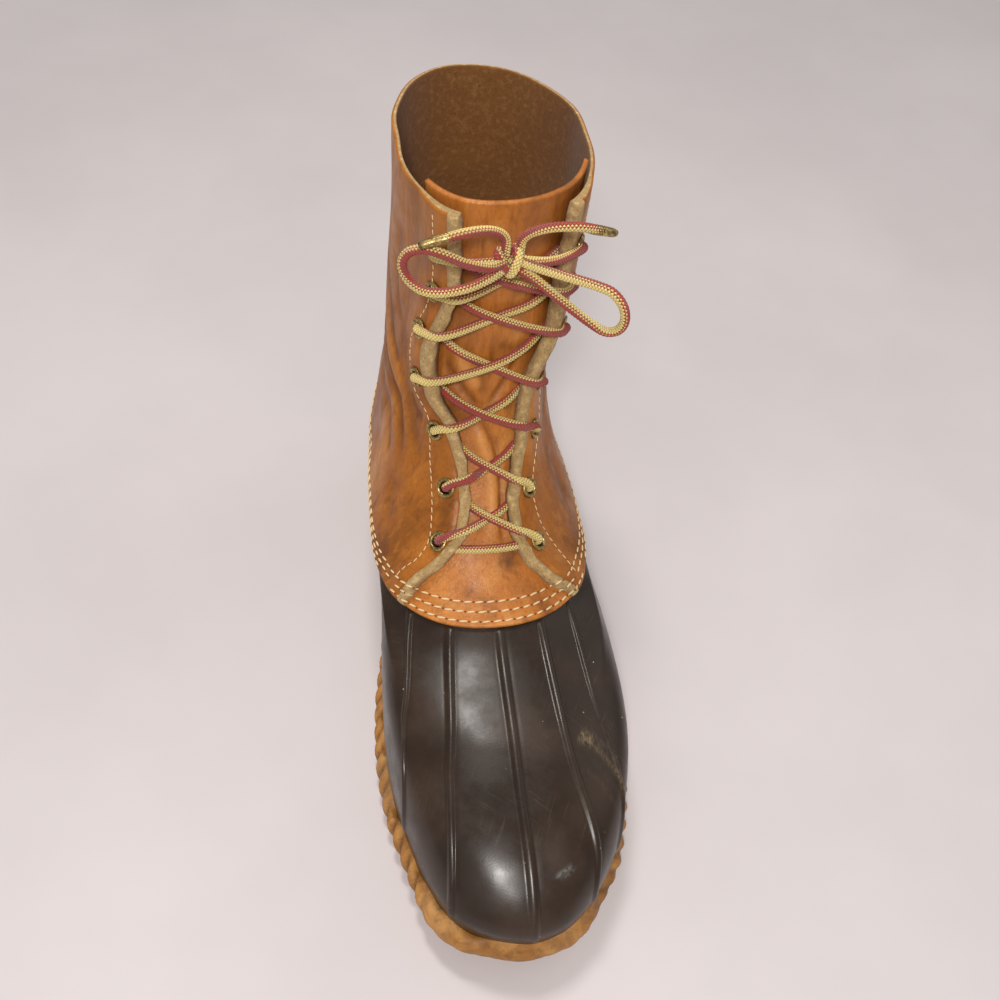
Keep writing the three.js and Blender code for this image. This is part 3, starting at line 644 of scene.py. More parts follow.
def lay_wall(bm: bmesh.types.BMesh, outside: Array, inside: Array, closed: bool = False,
             lining: int = 0) -> tuple[Table, Table]:
    """The two faces of a wall, not yet joined at their rims.

    Args:
        bm: Mesh to add to.
        outside: The outer face's points, as rows by columns by three.
        inside: The inner face's points, as many.
        closed: Whether each face's last column is welded to its first.
        lining: Number of the inner face's material.

    Returns:
        The vertices of the outer and of the inner face.
    """
    outer = lay_grid(bm, outside, closed)
    known = set(bm.faces)
    inner = lay_grid(bm, inside, closed)
    under = [face for face in bm.faces if face not in known]
    bmesh.ops.reverse_faces(bm, faces=under)
    for face in under:
        face.material_index = lining
    return outer, inner


def fill_layers(table: Table, layers: Layers, values: dict[str, Array]) -> None:
    """Writes values on a grid's vertices.

    Args:
        table: The vertices.
        layers: The layers by name.
        values: The values by name, one for each point that the grid was laid through.
    """
    for name, numbers in values.items():
        layer = layers[name]
        for line, row in zip(table, np.reshape(numbers, (len(table), -1))):
            for vert, number in zip(line, row):
                vert[layer] = float(number)


def open_edges(bm: bmesh.types.BMesh) -> list[bmesh.types.BMEdge]:
    """The edges that bound only one face."""
    return [edge for edge in bm.edges if edge.is_boundary]


def rim_edges(bm: bmesh.types.BMesh, verts: set[bmesh.types.BMVert]) -> list[bmesh.types.BMEdge]:
    """The open edges that run between some vertices."""
    return [edge for edge in open_edges(bm) if edge.verts[0] in verts and edge.verts[1] in verts]


def set_up(name: str, data: bpy.types.ID) -> bpy.types.Object:
    """A new object in the scene."""
    made = bpy.data.objects.new(name, data)
    bpy.context.scene.collection.objects.link(made)
    return made


def finish_piece(name: str, bm: bmesh.types.BMesh, materials: Sequence[bpy.types.Material],
                 replaces: Sequence[str] = ()) -> bpy.types.Object:
    """Turns a mesh into a piece of the boot.

    Args:
        name: The piece's name.
        bm: Its mesh, in metres; it is freed.
        materials: Its materials, in the order of its faces' numbers.
        replaces: Solids that it stands for.

    Returns:
        The piece.
    """
    mesh = bpy.data.meshes.new(name)
    bm.normal_update()
    bm.to_mesh(mesh)
    bm.free()
    mesh.shade_smooth()
    for material in materials:
        mesh.materials.append(material)
    piece = set_up(name, mesh)
    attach(piece, "root")
    if replaces:
        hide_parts(*replaces)
    LOG.info("%s: %d faces", name, len(mesh.polygons))
    return piece


def tube(bm: bmesh.types.BMesh, line: Array, radius: Union[float, Array], sides: int = 12,
         weave: float = 0.0, sway: float = 0.0) -> None:
    """A round tube along a line; its UV map holds the share of the turn and half the number of the ring.

    Args:
        bm: Mesh to add to.
        line: Points of the middle line, in millimetres.
        radius: Radius, or one for each point.
        sides: How many sides.
        weave: How far the plait's strands rise and sink, in millimetres.
        sway: How far the pattern rolls to and fro round the tube, in radians.
    """
    side, other = frames_along(line, np.array((0.0, -0.55, 0.83)))
    roll = sway * wander(line, 46.0, 21)
    angles = roll[:, None] + 2 * math.pi * np.arange(sides + 1) / sides
    ring = side[:, None] * np.cos(angles)[:, :, None] + other[:, None] * np.sin(angles)[:, :, None]
    odd = (np.arange(len(line))[:, None] + np.arange(sides + 1)) % 2
    radii = np.broadcast_to(radius, len(line))[:, None] + weave * (odd - 0.5)
    points = line[:, None] + ring * radii[:, :, None]
    uv = bm.loops.layers.uv.verify()
    before = set(bm.faces)
    table = lay_grid(bm, points, closed=False)
    place = {vert: (1 - i / sides, j / 2) for j, row in enumerate(table) for i, vert in enumerate(row)}
    for face in set(bm.faces) - before:
        for loop in face.loops:
            loop[uv].uv = place[loop.vert]
    bmesh.ops.weld_verts(bm, targetmap={row[-1]: row[0] for row in table})
    for row in (table[0], table[-1]):
        bmesh.ops.holes_fill(bm, edges=rim_edges(bm, set(row[:-1])), sides=0)


def turned_ring(bm: bmesh.types.BMesh, profile: Sequence[Place], steps: int) -> None:
    """A ring turned about +Z from a closed profile of radius and height.

    Args:
        bm: Mesh to add to.
        profile: Radius and height of each corner, in millimetres.
        steps: How many steps the full turn has.
    """
    verts = [bm.verts.new((radius * MM, 0.0, height * MM)) for radius, height in profile]
    edges = [bm.edges.new((verts[k], verts[(k + 1) % len(verts)])) for k in range(len(verts))]
    bmesh.ops.spin(bm, geom=verts + edges, cent=(0, 0, 0), axis=(0, 0, 1), angle=2 * math.pi, steps=steps,
                   use_merge=True)
    bmesh.ops.remove_doubles(bm, verts=bm.verts, dist=1e-6)
    bmesh.ops.recalc_face_normals(bm, faces=bm.faces)


class Graph:
    """Short words for building a material's or a group's nodes."""

    def __init__(self, tree: bpy.types.NodeTree) -> None:
        """Takes the tree to build in."""
        self.tree = tree

    def node(self, kind: str, inputs: Union[Inputs, None] = None, **settings: object) -> bpy.types.Node:
        """Adds a node.

        Args:
            kind: Its type.
            inputs: Sockets or values for its inputs.
            **settings: Its own settings.

        Returns:
            The node.
        """
        made = self.tree.nodes.new(kind)
        for key, setting in settings.items():
            setattr(made, key, setting)
        self.feed(made, inputs or {})
        return made

    def feed(self, node: bpy.types.Node, inputs: Inputs) -> None:
        """Links or sets a node's inputs."""
        for key, value in inputs.items():
            if isinstance(value, bpy.types.NodeSocket):
                self.tree.links.new(value, node.inputs[key])
            else:
                node.inputs[key].default_value = value

    def math(self, operation: str, a: Value, b: Value = 0.0) -> Socket:
        """Result of a math node."""
        return self.node("ShaderNodeMath", {0: a, 1: b}, operation=operation).outputs[0]

    def mix(self, share: Value, a: Value, b: Value) -> Socket:
        """Result of mixing two colours."""
        return self.node("ShaderNodeMix", {0: share, 6: a, 7: b}, data_type="RGBA").outputs[2]

    def tint(self, colour: Value, mask: Value, share: float, tone: Value) -> Socket:
        """A colour turned to a tone where a mask shows, by a share at most."""
        return self.mix(self.math("MULTIPLY", mask, share), colour, tone)

    def noise(self, vector: Value, scale: Value, detail: float = 3.0, rough: float = 0.5,
              bend: float = 0.0) -> Socket:
        """Height of a noise texture."""
        made = self.node("ShaderNodeTexNoise", {"Vector": vector, "Scale": scale, "Detail": detail,
                                                "Roughness": rough, "Distortion": bend})
        return made.outputs["Fac"]

    def cells(self, vector: Value, scale: Value) -> bpy.types.Node:
        """A cell texture."""
        return self.node("ShaderNodeTexVoronoi", {"Vector": vector, "Scale": scale}, feature="F1")

    def ramp(self, value: Value, low: float, high: float, to_low: float = 0.0,
             to_high: float = 1.0) -> Socket:
        """Smooth re-scaling of a value from one range to another."""
        made = self.node("ShaderNodeMapRange", {0: value, 1: low, 2: high, 3: to_low, 4: to_high},
                         interpolation_type="SMOOTHSTEP")
        return made.outputs[0]

    def stretched(self, vector: Value, scale: tuple[float, float, float]) -> Socket:
        """A vector scaled on each axis."""
        return self.node("ShaderNodeMapping", {"Vector": vector, "Scale": scale}).outputs[0]

    def attribute(self, name: str) -> Socket:
        """The piece's own float attribute."""
        return self.node("ShaderNodeAttribute", attribute_name=name).outputs["Fac"]

    def bump(self, height: Value, strength: float, distance: float,
             under: Union[Inputs, None] = None) -> Inputs:
        """A bumped normal, its distance in millimetres, as the input of a shader or of a bump over it."""
        inputs = {"Height": height, "Strength": strength, "Distance": distance * MM, **(under or {})}
        return {"Normal": self.node("ShaderNodeBump", inputs).outputs[0]}

    def group(self, tree: bpy.types.NodeTree, inputs: Inputs) -> bpy.types.Node:
        """Places a node group."""
        return self.node("ShaderNodeGroup", inputs, node_tree=tree)


def node_group(name: str, inputs: dict[str, Union[float, None]], outputs: Sequence[str],
               build: Callable[[Graph, dict[str, Socket]], dict[str, Socket]]) -> bpy.types.NodeTree:
    """Makes a shader node group.

    Args:
        name: Its name.
        inputs: Names and starting values of its inputs; None is a vector.
        outputs: Names of its outputs, all values.
        build: Builds its nodes from its input sockets, and returns what goes to each output.

    Returns:
        The group.
    """
    tree = bpy.data.node_groups.new(name, "ShaderNodeTree")
    for key, start in inputs.items():
        kind = "NodeSocketVector" if start is None else "NodeSocketFloat"
        socket = tree.interface.new_socket(name=key, in_out="INPUT", socket_type=kind)
        if start is not None:
            socket.default_value = start
    for key in outputs:
        tree.interface.new_socket(name=key, in_out="OUTPUT", socket_type="NodeSocketFloat")
    graph = Graph(tree)
    enter = tree.nodes.new("NodeGroupInput")
    leave = tree.nodes.new("NodeGroupOutput")
    made = build(graph, {key: enter.outputs[key] for key in inputs})
    for key, socket in made.items():
        tree.links.new(socket, leave.inputs[key])
    return tree


def new_material(name: str) -> tuple[bpy.types.Material, Graph, bpy.types.Node, Socket]:
    """A new material.

    Args:
        name: Its name.

    Returns:
        The material, its graph, its shader and the object coordinates.
    """
    material = bpy.data.materials.new(name)
    material.use_nodes = True
    g = Graph(material.node_tree)
    shader = material.node_tree.nodes["Principled BSDF"]
    return material, g, shader, g.node("ShaderNodeTexCoord").outputs["Object"]


def paint(red: float, green: float, blue: float) -> tuple[float, float, float, float]:
    """A colour given as it looks on screen, 0 to 255, in linear light."""

    def linear(level: float) -> float:
        """One channel."""
        v = level / 255
        return v / 12.92 if v <= 0.04045 else ((v + 0.055) / 1.055) ** 2.4

    return linear(red), linear(green), linear(blue), 1.0


def grain_nodes(g: Graph, s: dict[str, Socket]) -> dict[str, Socket]:
    """Leather grain: small uneven cells, pores and fine wrinkles that run one way."""
    cells = g.cells(s["Vector"], s["Scale"]).outputs["Distance"]
    fine = g.noise(s["Vector"], g.math("MULTIPLY", s["Scale"], 0.55), 4.0, 0.6)
    pits = g.cells(s["Vector"], g.math("MULTIPLY", s["Scale"], 0.42)).outputs["Distance"]
    pores = g.ramp(pits, 0.0, 0.22, 1.0, 0.0)
    drawn = g.stretched(s["Vector"], (1.0, 1.0, 0.22))
    wrinkle = g.noise(drawn, g.math("MULTIPLY", s["Scale"], 0.16), 3.0, 0.55, 0.6)
    line = g.ramp(g.math("ABSOLUTE", g.math("SUBTRACT", wrinkle, 0.5)), 0.0, 0.05, 1.0, 0.0)
    height = g.math("ADD", g.math("MULTIPLY", cells, 0.5), g.math("MULTIPLY", fine, 0.6))
    height = g.math("SUBTRACT", height, g.math("MULTIPLY", pores, 0.25))
    height = g.math("SUBTRACT", height, g.math("MULTIPLY", line, g.math("MULTIPLY", s["Wrinkle"], 0.6)))
    return {"Height": height, "Line": line}


def speck_nodes(g: Graph, s: dict[str, Socket]) -> dict[str, Socket]:
    """Dust: a few small bright specks and a thin uneven film."""
    cells = g.cells(s["Vector"], s["Scale"])
    dots = g.ramp(cells.outputs["Distance"], 0.03, 0.09, 1.0, 0.0)
    chosen = g.ramp(g.noise(cells.outputs["Position"], 900.0, 1.0), 0.56, 0.64)
    film = g.noise(s["Vector"], g.math("MULTIPLY", s["Scale"], 0.12), 5.0, 0.65)
    mask = g.math("MULTIPLY", g.math("MULTIPLY", dots, chosen), s["Specks"])
    return {"Mask": mask, "Film": g.math("MULTIPLY", g.ramp(film, 0.42, 0.75), s["Film"])}


def nap_nodes(g: Graph, s: dict[str, Socket]) -> dict[str, Socket]:
    """Suede: short fibres with dark flecks."""
    fibres = g.noise(s["Vector"], s["Scale"], 6.0, 0.7, 0.4)
    flecks = g.ramp(g.noise(s["Vector"], g.math("MULTIPLY", s["Scale"], 0.55), 3.0, 0.7), 0.50, 0.66)
    return {"Height": fibres, "Flecks": flecks}


def scratch_nodes(g: Graph, s: dict[str, Socket]) -> dict[str, Socket]:
    """Fine scratches in two directions."""
    total: Union[Socket, None] = None
    for turn, stretch in ((0.5, 26.0), (-0.9, 34.0)):
        turned = g.node("ShaderNodeMapping", {"Vector": s["Vector"], "Rotation": (0.2, 0.1, turn)}).outputs[0]
        lines = g.noise(g.stretched(turned, (stretch, 1.0, 1.0)), s["Scale"], 3.0, 0.6)
        patch = g.ramp(g.noise(s["Vector"], 38.0 + 9.0 * turn, 2.0), 0.48, 0.62)
        mask = g.math("MULTIPLY", g.ramp(lines, 0.60, 0.68), patch)
        total = mask if total is None else g.math("MAXIMUM", total, mask)
    return {"Mask": g.math("MULTIPLY", total, s["Amount"])}


def braid_nodes(g: Graph, s: dict[str, Socket]) -> dict[str, Socket]:
    """Round braid from a UV map: strands that cross over and under, and which of its two colours shows."""
    uv = g.node("ShaderNodeSeparateXYZ", {0: s["Vector"]})
    around = g.math("MULTIPLY", uv.outputs[0], s["Strands"])
    one = g.math("ADD", around, uv.outputs[1])
    two = g.math("SUBTRACT", around, uv.outputs[1])
    across_one, across_two = g.math("FRACT", one), g.math("FRACT", two)
    cell_one, cell_two = g.math("FLOOR", one), g.math("FLOOR", two)
    first_over = g.math("GREATER_THAN", g.math("PINGPONG", g.math("ADD", cell_one, cell_two), 1.0), 0.5)

    def dome(share: Value) -> Socket:
        """Height across a strand."""
        return g.math("SINE", g.math("MULTIPLY", share, math.pi))

    def over(across: Value, along: Value) -> Socket:
        """Height of a strand where it runs over the other."""
        rise = g.math("ADD", g.math("MULTIPLY", dome(along), 0.6), 0.4)
        return g.math("MULTIPLY", g.math("POWER", dome(across), 0.6), rise)

    top = g.math("MULTIPLY", over(across_one, across_two), first_over)
    low = g.math("MULTIPLY", over(across_two, across_one), g.math("SUBTRACT", 1.0, first_over))
    turns = g.math("ADD", g.math("ADD", cell_one, cell_two), 1.0)
    place = g.math("DIVIDE", turns, g.math("MULTIPLY", s["Strands"], 2.0))
    share = g.math("SINE", g.math("MULTIPLY", place, 2 * math.pi))
    return {"Height": g.math("ADD", top, low), "Second": g.math("GREATER_THAN", share, 0.0)}


class Finishes:
    """The boot's materials, each with its own grain, wear and gloss."""

    def __init__(self) -> None:
        """Makes the shared groups, then each material."""
        self.grain = node_group("leather_grain", {"Vector": None, "Scale": 1500.0, "Wrinkle": 1.0},
                                ("Height", "Line"), grain_nodes)
        self.dust = node_group("dust", {"Vector": None, "Scale": 240.0, "Specks": 1.0, "Film": 1.0},
                               ("Mask", "Film"), speck_nodes)
        self.nap = node_group("suede_nap", {"Vector": None, "Scale": 1800.0}, ("Height", "Flecks"), nap_nodes)
        self.scratch = node_group("scratches", {"Vector": None, "Scale": 90.0, "Amount": 1.0}, ("Mask",),
                                  scratch_nodes)
        self.braid = node_group("round_braid", {"Vector": None, "Strands": 6.0}, ("Height", "Second"),
                                braid_nodes)
        self.quarter = self.leather(
            "quarter_leather", paint(166, 97, 26), paint(204, 134, 52), paint(92, 50, 12))
        # A lighter copy of the quarter leather: the lift in tone is painted light, for the vamp and tongue
        # face up toward the lamps.
        self.tongue = self.leather(
            "tongue_leather", paint(190, 116, 48), paint(224, 156, 84), paint(110, 60, 20))
        self.suede = self.raw_leather(
            "cut_suede", paint(176, 144, 96), paint(104, 80, 48), paint(206, 178, 128))
        self.flesh = self.raw_leather(
            "flesh_side", paint(128, 84, 44), paint(92, 58, 28), paint(146, 102, 60))
        self.rubber = self.brown_rubber()
        self.sole = self.tan_rubber()
        self.brass = self.aged_brass()
        self.lace = self.round_lace()
        self.thread = self.cream_thread()
        self.hole_shade = self.stitch_hole_shade()
        self.lining = self.insole_fleece()

    def leather(self, name: str, base: Value, light: Value, dark: Value) -> bpy.types.Material:
        """Oiled pull-up leather, lighter where it is stretched, with painted shade in its folds.

        Args:
            name: The material's name.
            base: Its middle colour.
            light: Where it is stretched or rubbed.
            dark: Painted shade in its folds, and its stains.

        Returns:
            The material.
        """
        material, g, shader, place = new_material(name)
        grain = g.group(self.grain, {"Vector": place, "Scale": 1500.0, "Wrinkle": 1.0}).outputs
        clouds = g.noise(g.stretched(place, (1.0, 1.0, 0.45)), 34.0, 4.0, 0.6, 0.5)
        streaks = g.noise(g.stretched(place, (1.0, 1.0, 0.12)), 150.0, 4.0, 0.6, 0.3)
        fine = g.noise(place, 420.0, 4.0, 0.6)
        colour = g.mix(g.ramp(clouds, 0.48, 0.78), base, light)
        for mask, share, tone in (
                (g.ramp(clouds, 0.52, 0.26), 0.75, dark), (g.ramp(streaks, 0.54, 0.74), 0.55, dark),
                (g.ramp(streaks, 0.46, 0.28), 0.35, light), (g.ramp(fine, 0.50, 0.72), 0.22, dark),
                # trough: painted shade, darker in the troughs of the folds
                (grain["Line"], 0.16, dark), (g.attribute("trough"), 0.9, dark),
                (g.attribute("stain"), 0.85, paint(84, 48, 26)), (g.attribute("rub"), 0.7, light)):
            colour = g.tint(colour, mask, share, tone)
        drape = g.noise(g.stretched(place, (1.0, 1.0, 0.5)), 120.0, 4.0, 0.6, 0.4)
        g.feed(shader, {
            "Base Color": colour,
            "Roughness": g.ramp(g.noise(place, 90.0, 3.0, 0.6), 0.3, 0.7, 0.34, 0.54),
            "Specular IOR Level": 0.32,
            "Coat Weight": 0.06,
            "Coat Roughness": 0.3,
            **g.bump(grain["Height"], 0.55, 0.18, g.bump(drape, 0.55, 1.2)),
        })
        return material

    def raw_leather(self, name: str, base: Value, dark: Value, light: Value) -> bpy.types.Material:
        """Raw fibrous leather, as at a cut edge.

        Args:
            name: The material's name.
            base: Its colour.
            dark: Its flecks.
            light: Its paler fibres.

        Returns:
            The material.
        """
        material, g, shader, place = new_material(name)
        nap = g.group(self.nap, {"Vector": place, "Scale": 2400.0}).outputs
        colour = g.tint(base, nap["Flecks"], 0.55, dark)
        broad = g.bump(g.noise(place, 520.0, 3.0, 0.6), 0.5, 0.4)
        g.feed(shader, {
            "Base Color": g.mix(g.ramp(g.noise(place, 420.0, 4.0, 0.6), 0.45, 0.75), colour, light),
            "Roughness": 0.92,
            "Sheen Weight": 0.12,
            "Specular IOR Level": 0.15,
            **g.bump(nap["Height"], 0.8, 0.3, broad),
        })
        return material

    def brown_rubber(self) -> bpy.types.Material:
        """Dark brown rubber with a soft gloss, a film of dust, fine scratches and a few scuffs."""
        material, g, shader, place = new_material("brown_rubber")
        dust = g.group(self.dust, {"Vector": place, "Scale": 210.0, "Specks": 1.0, "Film": 1.0}).outputs
        scratch = g.group(self.scratch, {"Vector": place, "Scale": 60.0, "Amount": 1.0}).outputs["Mask"]
        patches = g.noise(g.stretched(place, (1.0, 0.3, 1.0)), 900.0, 4.0, 0.7)
        marks = g.math("MULTIPLY", g.attribute("scuff"), g.ramp(patches, 0.36, 0.60))
        chalk = g.math("MULTIPLY", g.attribute("chalk"), g.ramp(g.noise(place, 700.0, 3.0), 0.3, 0.5))
        cloud = g.noise(place, 26.0, 4.0, 0.6)
        colour = g.mix(g.ramp(cloud, 0.35, 0.7), paint(39, 27, 18), paint(51, 36, 26))
        for mask, share, tone in (
                (dust["Film"], 0.10, paint(118, 98, 80)), (scratch, 0.10, paint(130, 114, 94)),
                (marks, 0.85, paint(142, 122, 92)), (chalk, 1.0, paint(190, 196, 192)),
                (dust["Mask"], 0.75, paint(214, 202, 178))):
            colour = g.tint(colour, mask, share, tone)
        rough = g.ramp(g.noise(place, 70.0, 4.0, 0.65), 0.3, 0.75, 0.26, 0.40)
        dull = g.math("MULTIPLY", g.math("ADD", marks, dust["Film"]), 0.14)
        skin = g.bump(g.noise(place, 1200.0, 3.0, 0.6), 0.22, 0.10)
        skin = g.bump(g.noise(place, 60.0, 2.0, 0.5), 0.2, 0.7, skin)
        g.feed(shader, {
            "Base Color": colour,
            "Roughness": g.math("ADD", rough, dull),
            "Specular IOR Level": 0.38,
            "Coat Weight": 0.05,
            "Coat Roughness": 0.2,
            **g.bump(scratch, -0.25, 0.1, skin),
        })
        return material

    def tan_rubber(self) -> bpy.types.Material:
        """Tan crepe-like rubber, mottled, with painted shade in its hollows and joins."""
        material, g, shader, place = new_material("tan_rubber")
        dust = g.group(self.dust, {"Vector": place, "Scale": 300.0, "Specks": 0.6, "Film": 1.0}).outputs
        cloud = g.noise(place, 90.0, 5.0, 0.65, 0.6)
        blot = g.noise(place, 240.0, 4.0, 0.6)
        colour = g.mix(g.ramp(cloud, 0.32, 0.72), paint(146, 96, 40), paint(192, 136, 68))
        for mask, share, tone in (
                (g.ramp(blot, 0.52, 0.7), 0.6, paint(112, 70, 30)),
                # Darker in the rope's hollows, at its joins and underside and in the tread's grooves: painted
                # shade.
                (g.attribute("painted_shade"), 0.7, paint(86, 54, 28)),
                (dust["Film"], 0.22, paint(196, 172, 132)), (dust["Mask"], 0.5, paint(224, 210, 180))):
            colour = g.tint(colour, mask, share, tone)
        g.feed(shader, {
            "Base Color": colour,
            "Roughness": g.ramp(cloud, 0.3, 0.7, 0.48, 0.66),
            "Specular IOR Level": 0.4,
            **g.bump(g.noise(place, 1100.0, 4.0, 0.6), 0.4, 0.2, g.bump(blot, 0.4, 0.5)),
        })
        return material

    def aged_brass(self) -> bpy.types.Material:
        """Aged brass: brown in its hollows, bright where it is rubbed."""
        material, g, shader, place = new_material("aged_brass")
        tarnish = g.noise(place, 700.0, 4.0, 0.65)
        g.feed(shader, {
            "Base Color": g.mix(g.ramp(tarnish, 0.40, 0.62), paint(196, 174, 116), paint(124, 104, 62)),
            "Roughness": g.ramp(tarnish, 0.35, 0.65, 0.34, 0.55),
            "Metallic": 1.0,
            **g.bump(g.noise(place, 1600.0, 3.0), 0.3, 0.08),
        })
        return material

    def round_lace(self) -> bpy.types.Material:
        """Round braid, half gold and half dark red, with fibres along its strands and painted shade between
        them.
        """
        material, g, shader, _ = new_material("round_lace")
        uv = g.node("ShaderNodeTexCoord").outputs["UV"]
        braid = g.group(self.braid, {"Vector": uv, "Strands": 6.0}).outputs
        fibre = g.noise(g.stretched(uv, (50.0, 6.0, 1.0)), 1.0, 3.0, 0.6)
        gold = g.mix(fibre, paint(228, 186, 90), paint(255, 238, 156))
        red = g.mix(fibre, paint(138, 32, 26), paint(200, 70, 54))
        colour = g.mix(braid["Second"], gold, red)
        g.feed(shader, {
            # Darker where the braid sinks between its strands: painted shade.
            "Base Color": g.tint(colour, g.ramp(braid["Height"], 0.42, 0.1), 0.62, paint(78, 36, 16)),
            "Roughness": 0.78,
            "Sheen Weight": 0.3,
            **g.bump(fibre, 0.3, 0.1, g.bump(braid["Height"], 1.0, 0.7)),
        })
        return material

    def cream_thread(self) -> bpy.types.Material:
        """Waxed cream thread with a slight twist."""
        material, g, shader, place = new_material("cream_thread")
        twist = g.noise(place, 2600.0, 2.0, 0.5)
        g.feed(shader, {
            "Base Color": g.mix(twist, paint(214, 182, 130), paint(246, 222, 178)),
            "Roughness": 0.6,
            **g.bump(twist, 0.4, 0.1),
        })
        return material

    def stitch_hole_shade(self) -> bpy.types.Material:
        """Painted shade: a dark leather colour for the bead where a stitch dives in."""
        material, g, shader, _ = new_material("stitch_hole_shade")
        g.feed(shader, {"Base Color": paint(120, 70, 30), "Roughness": 0.8})
        return material

    def insole_fleece(self) -> bpy.types.Material:
        """Worn insole: brown fleece with a print of the foot."""
        material, g, shader, place = new_material("insole_fleece")
        nap = g.group(self.nap, {"Vector": place, "Scale": 900.0}).outputs
        worn = g.noise(place, 28.0, 3.0, 0.6)
        colour = g.mix(g.ramp(worn, 0.35, 0.7), paint(150, 118, 78), paint(104, 78, 50))
        g.feed(shader, {
            "Base Color": g.tint(colour, nap["Flecks"], 0.5, paint(70, 52, 34)),
            "Roughness": 0.95,
            **g.bump(nap["Height"], 0.8, 0.5),
        })
        return material


@dataclass(frozen=True)
class Lamp:
    """A soft square lamp, in metres and watts."""

    name: str
    place: tuple[float, float, float]
    aim: tuple[float, float, float]
    size: float
    power: float
    colour: tuple[float, float, float]

    def hang(self) -> None:
        """Hangs the lamp."""
        data = bpy.data.lights.new(self.name, "AREA")
        data.size = self.size
        data.energy = self.power
        data.color = self.colour
        place = Vector(self.place)
        turn = (Vector(self.aim) - place).to_track_quat("-Z", "Y").to_matrix().to_4x4()
        set_up(self.name, data).matrix_world = Matrix.Translation(place) @ turn


@dataclass(frozen=True)
class Studio:
    """Floor, light and the photograph's view, in metres and in the photograph's pixels."""

    place: tuple[float, float, float] = (-0.0806, -0.4507, 0.522)
    yaw: float = 5.0
    pitch: float = 56.0
    photo_focal: float = 1800.0
    zoom: float = 0.72
    aim: Place = (682.0, 286.0)
    pixels: float = 1000.0
    sensor: float = 36.0
    lamps: tuple[Lamp, ...] = (
        Lamp("overhead", (-0.10, 0.27, 1.30), (0.0, -0.10, 0.0), 0.24, 6.8, (1.0, 0.97, 0.93)),
        Lamp("front", (-0.20, -0.84, 0.98), (0.0, -0.16, 0.05), 0.15, 8.6, (1.0, 0.97, 0.94)),
        Lamp("front_fill", (-0.75, -1.0, 0.7), (0.0, -0.12, 0.08), 0.9, 0.9, (1.0, 0.99, 1.0)),
        Lamp("side_fill", (0.9, 0.1, 0.8), (0.0, -0.05, 0.1), 0.9, 1.3, (1.0, 0.98, 0.96)),
    )
    room: tuple[float, float, float, float] = (0.96, 0.93, 0.91, 1.0)
    room_strength: float = 0.31
    floor_half: float = 4.0

    def camera(self) -> None:
        """Sets the camera where the photograph was taken from, turned so that the whole boot is in view."""
        yaw, pitch = math.radians(self.yaw), math.radians(self.pitch)
        ahead = Vector((math.sin(yaw) * math.cos(pitch), math.cos(yaw) * math.cos(pitch), -math.sin(pitch)))
        right = Vector((math.cos(yaw), -math.sin(yaw), 0.0))
        up = right.cross(ahead)
        middle = self.pixels / 2
        across, rise = (self.aim[0] - middle) / self.photo_focal, (middle - self.aim[1]) / self.photo_focal
        toward = ahead + right * across + up * rise
        turn = ahead.rotation_difference(toward.normalized()).to_matrix()
        basis = Matrix((turn @ right, turn @ up, turn @ -ahead)).transposed().to_4x4()
        data = bpy.data.cameras.new("photo_view")
        data.sensor_width = self.sensor
        data.lens = self.photo_focal * self.zoom / self.pixels * self.sensor
        data.clip_start = 0.01
        camera = set_up("photo_view", data)
        camera.matrix_world = Matrix.Translation(Vector(self.place)) @ basis
        bpy.context.scene.camera = camera

    def light(self) -> None:
        """A lamp overhead and one in front above the toe, with weak fill, as in a plain room."""
        for lamp in self.lamps:
            lamp.hang()
        world = bpy.data.worlds.new("room")
        world.use_nodes = True
        Graph(world.node_tree).feed(world.node_tree.nodes["Background"],
                                    {"Color": self.room, "Strength": self.room_strength})
        bpy.context.scene.world = world
        bpy.context.scene.view_settings.view_transform = "Standard"

    def floor(self) -> None:
        """A plain pale floor with a little dust."""
        bm = bmesh.new()
        bmesh.ops.create_grid(bm, x_segments=1, y_segments=1, size=self.floor_half)
        mesh = bpy.data.meshes.new("floor")
        bm.to_mesh(mesh)
        bm.free()
        material, g, shader, place = new_material("pale_floor")
        tone = g.ramp(g.noise(place, 4.0, 4.0, 0.6), 0.3, 0.7)
        g.feed(shader, {
            "Base Color": g.mix(tone, paint(206, 199, 200), paint(214, 207, 208)),
            "Roughness": 0.75,
        })
        mesh.materials.append(material)
        set_up("floor", mesh)

    def build(self) -> None:
        """Sets up the whole studio."""
        self.camera()
        self.light()
        self.floor()


def lace_piece(name: str, lines: Sequence[Array], nodes: Sequence[str], looks: Finishes) -> bpy.types.Object:
    """A piece of plaited lace.

    Args:
        name: The piece's name.
        lines: Its middle lines.
        nodes: The solids that it stands for.
        looks: The materials.

    Returns:
        The piece.
    """
    bm = bmesh.new()
    for line in lines:
        tube(bm, line, FIT.lace / 2, weave=FIT.weave, sway=FIT.sway)
    return finish_piece(name, bm, [looks.lace], nodes)


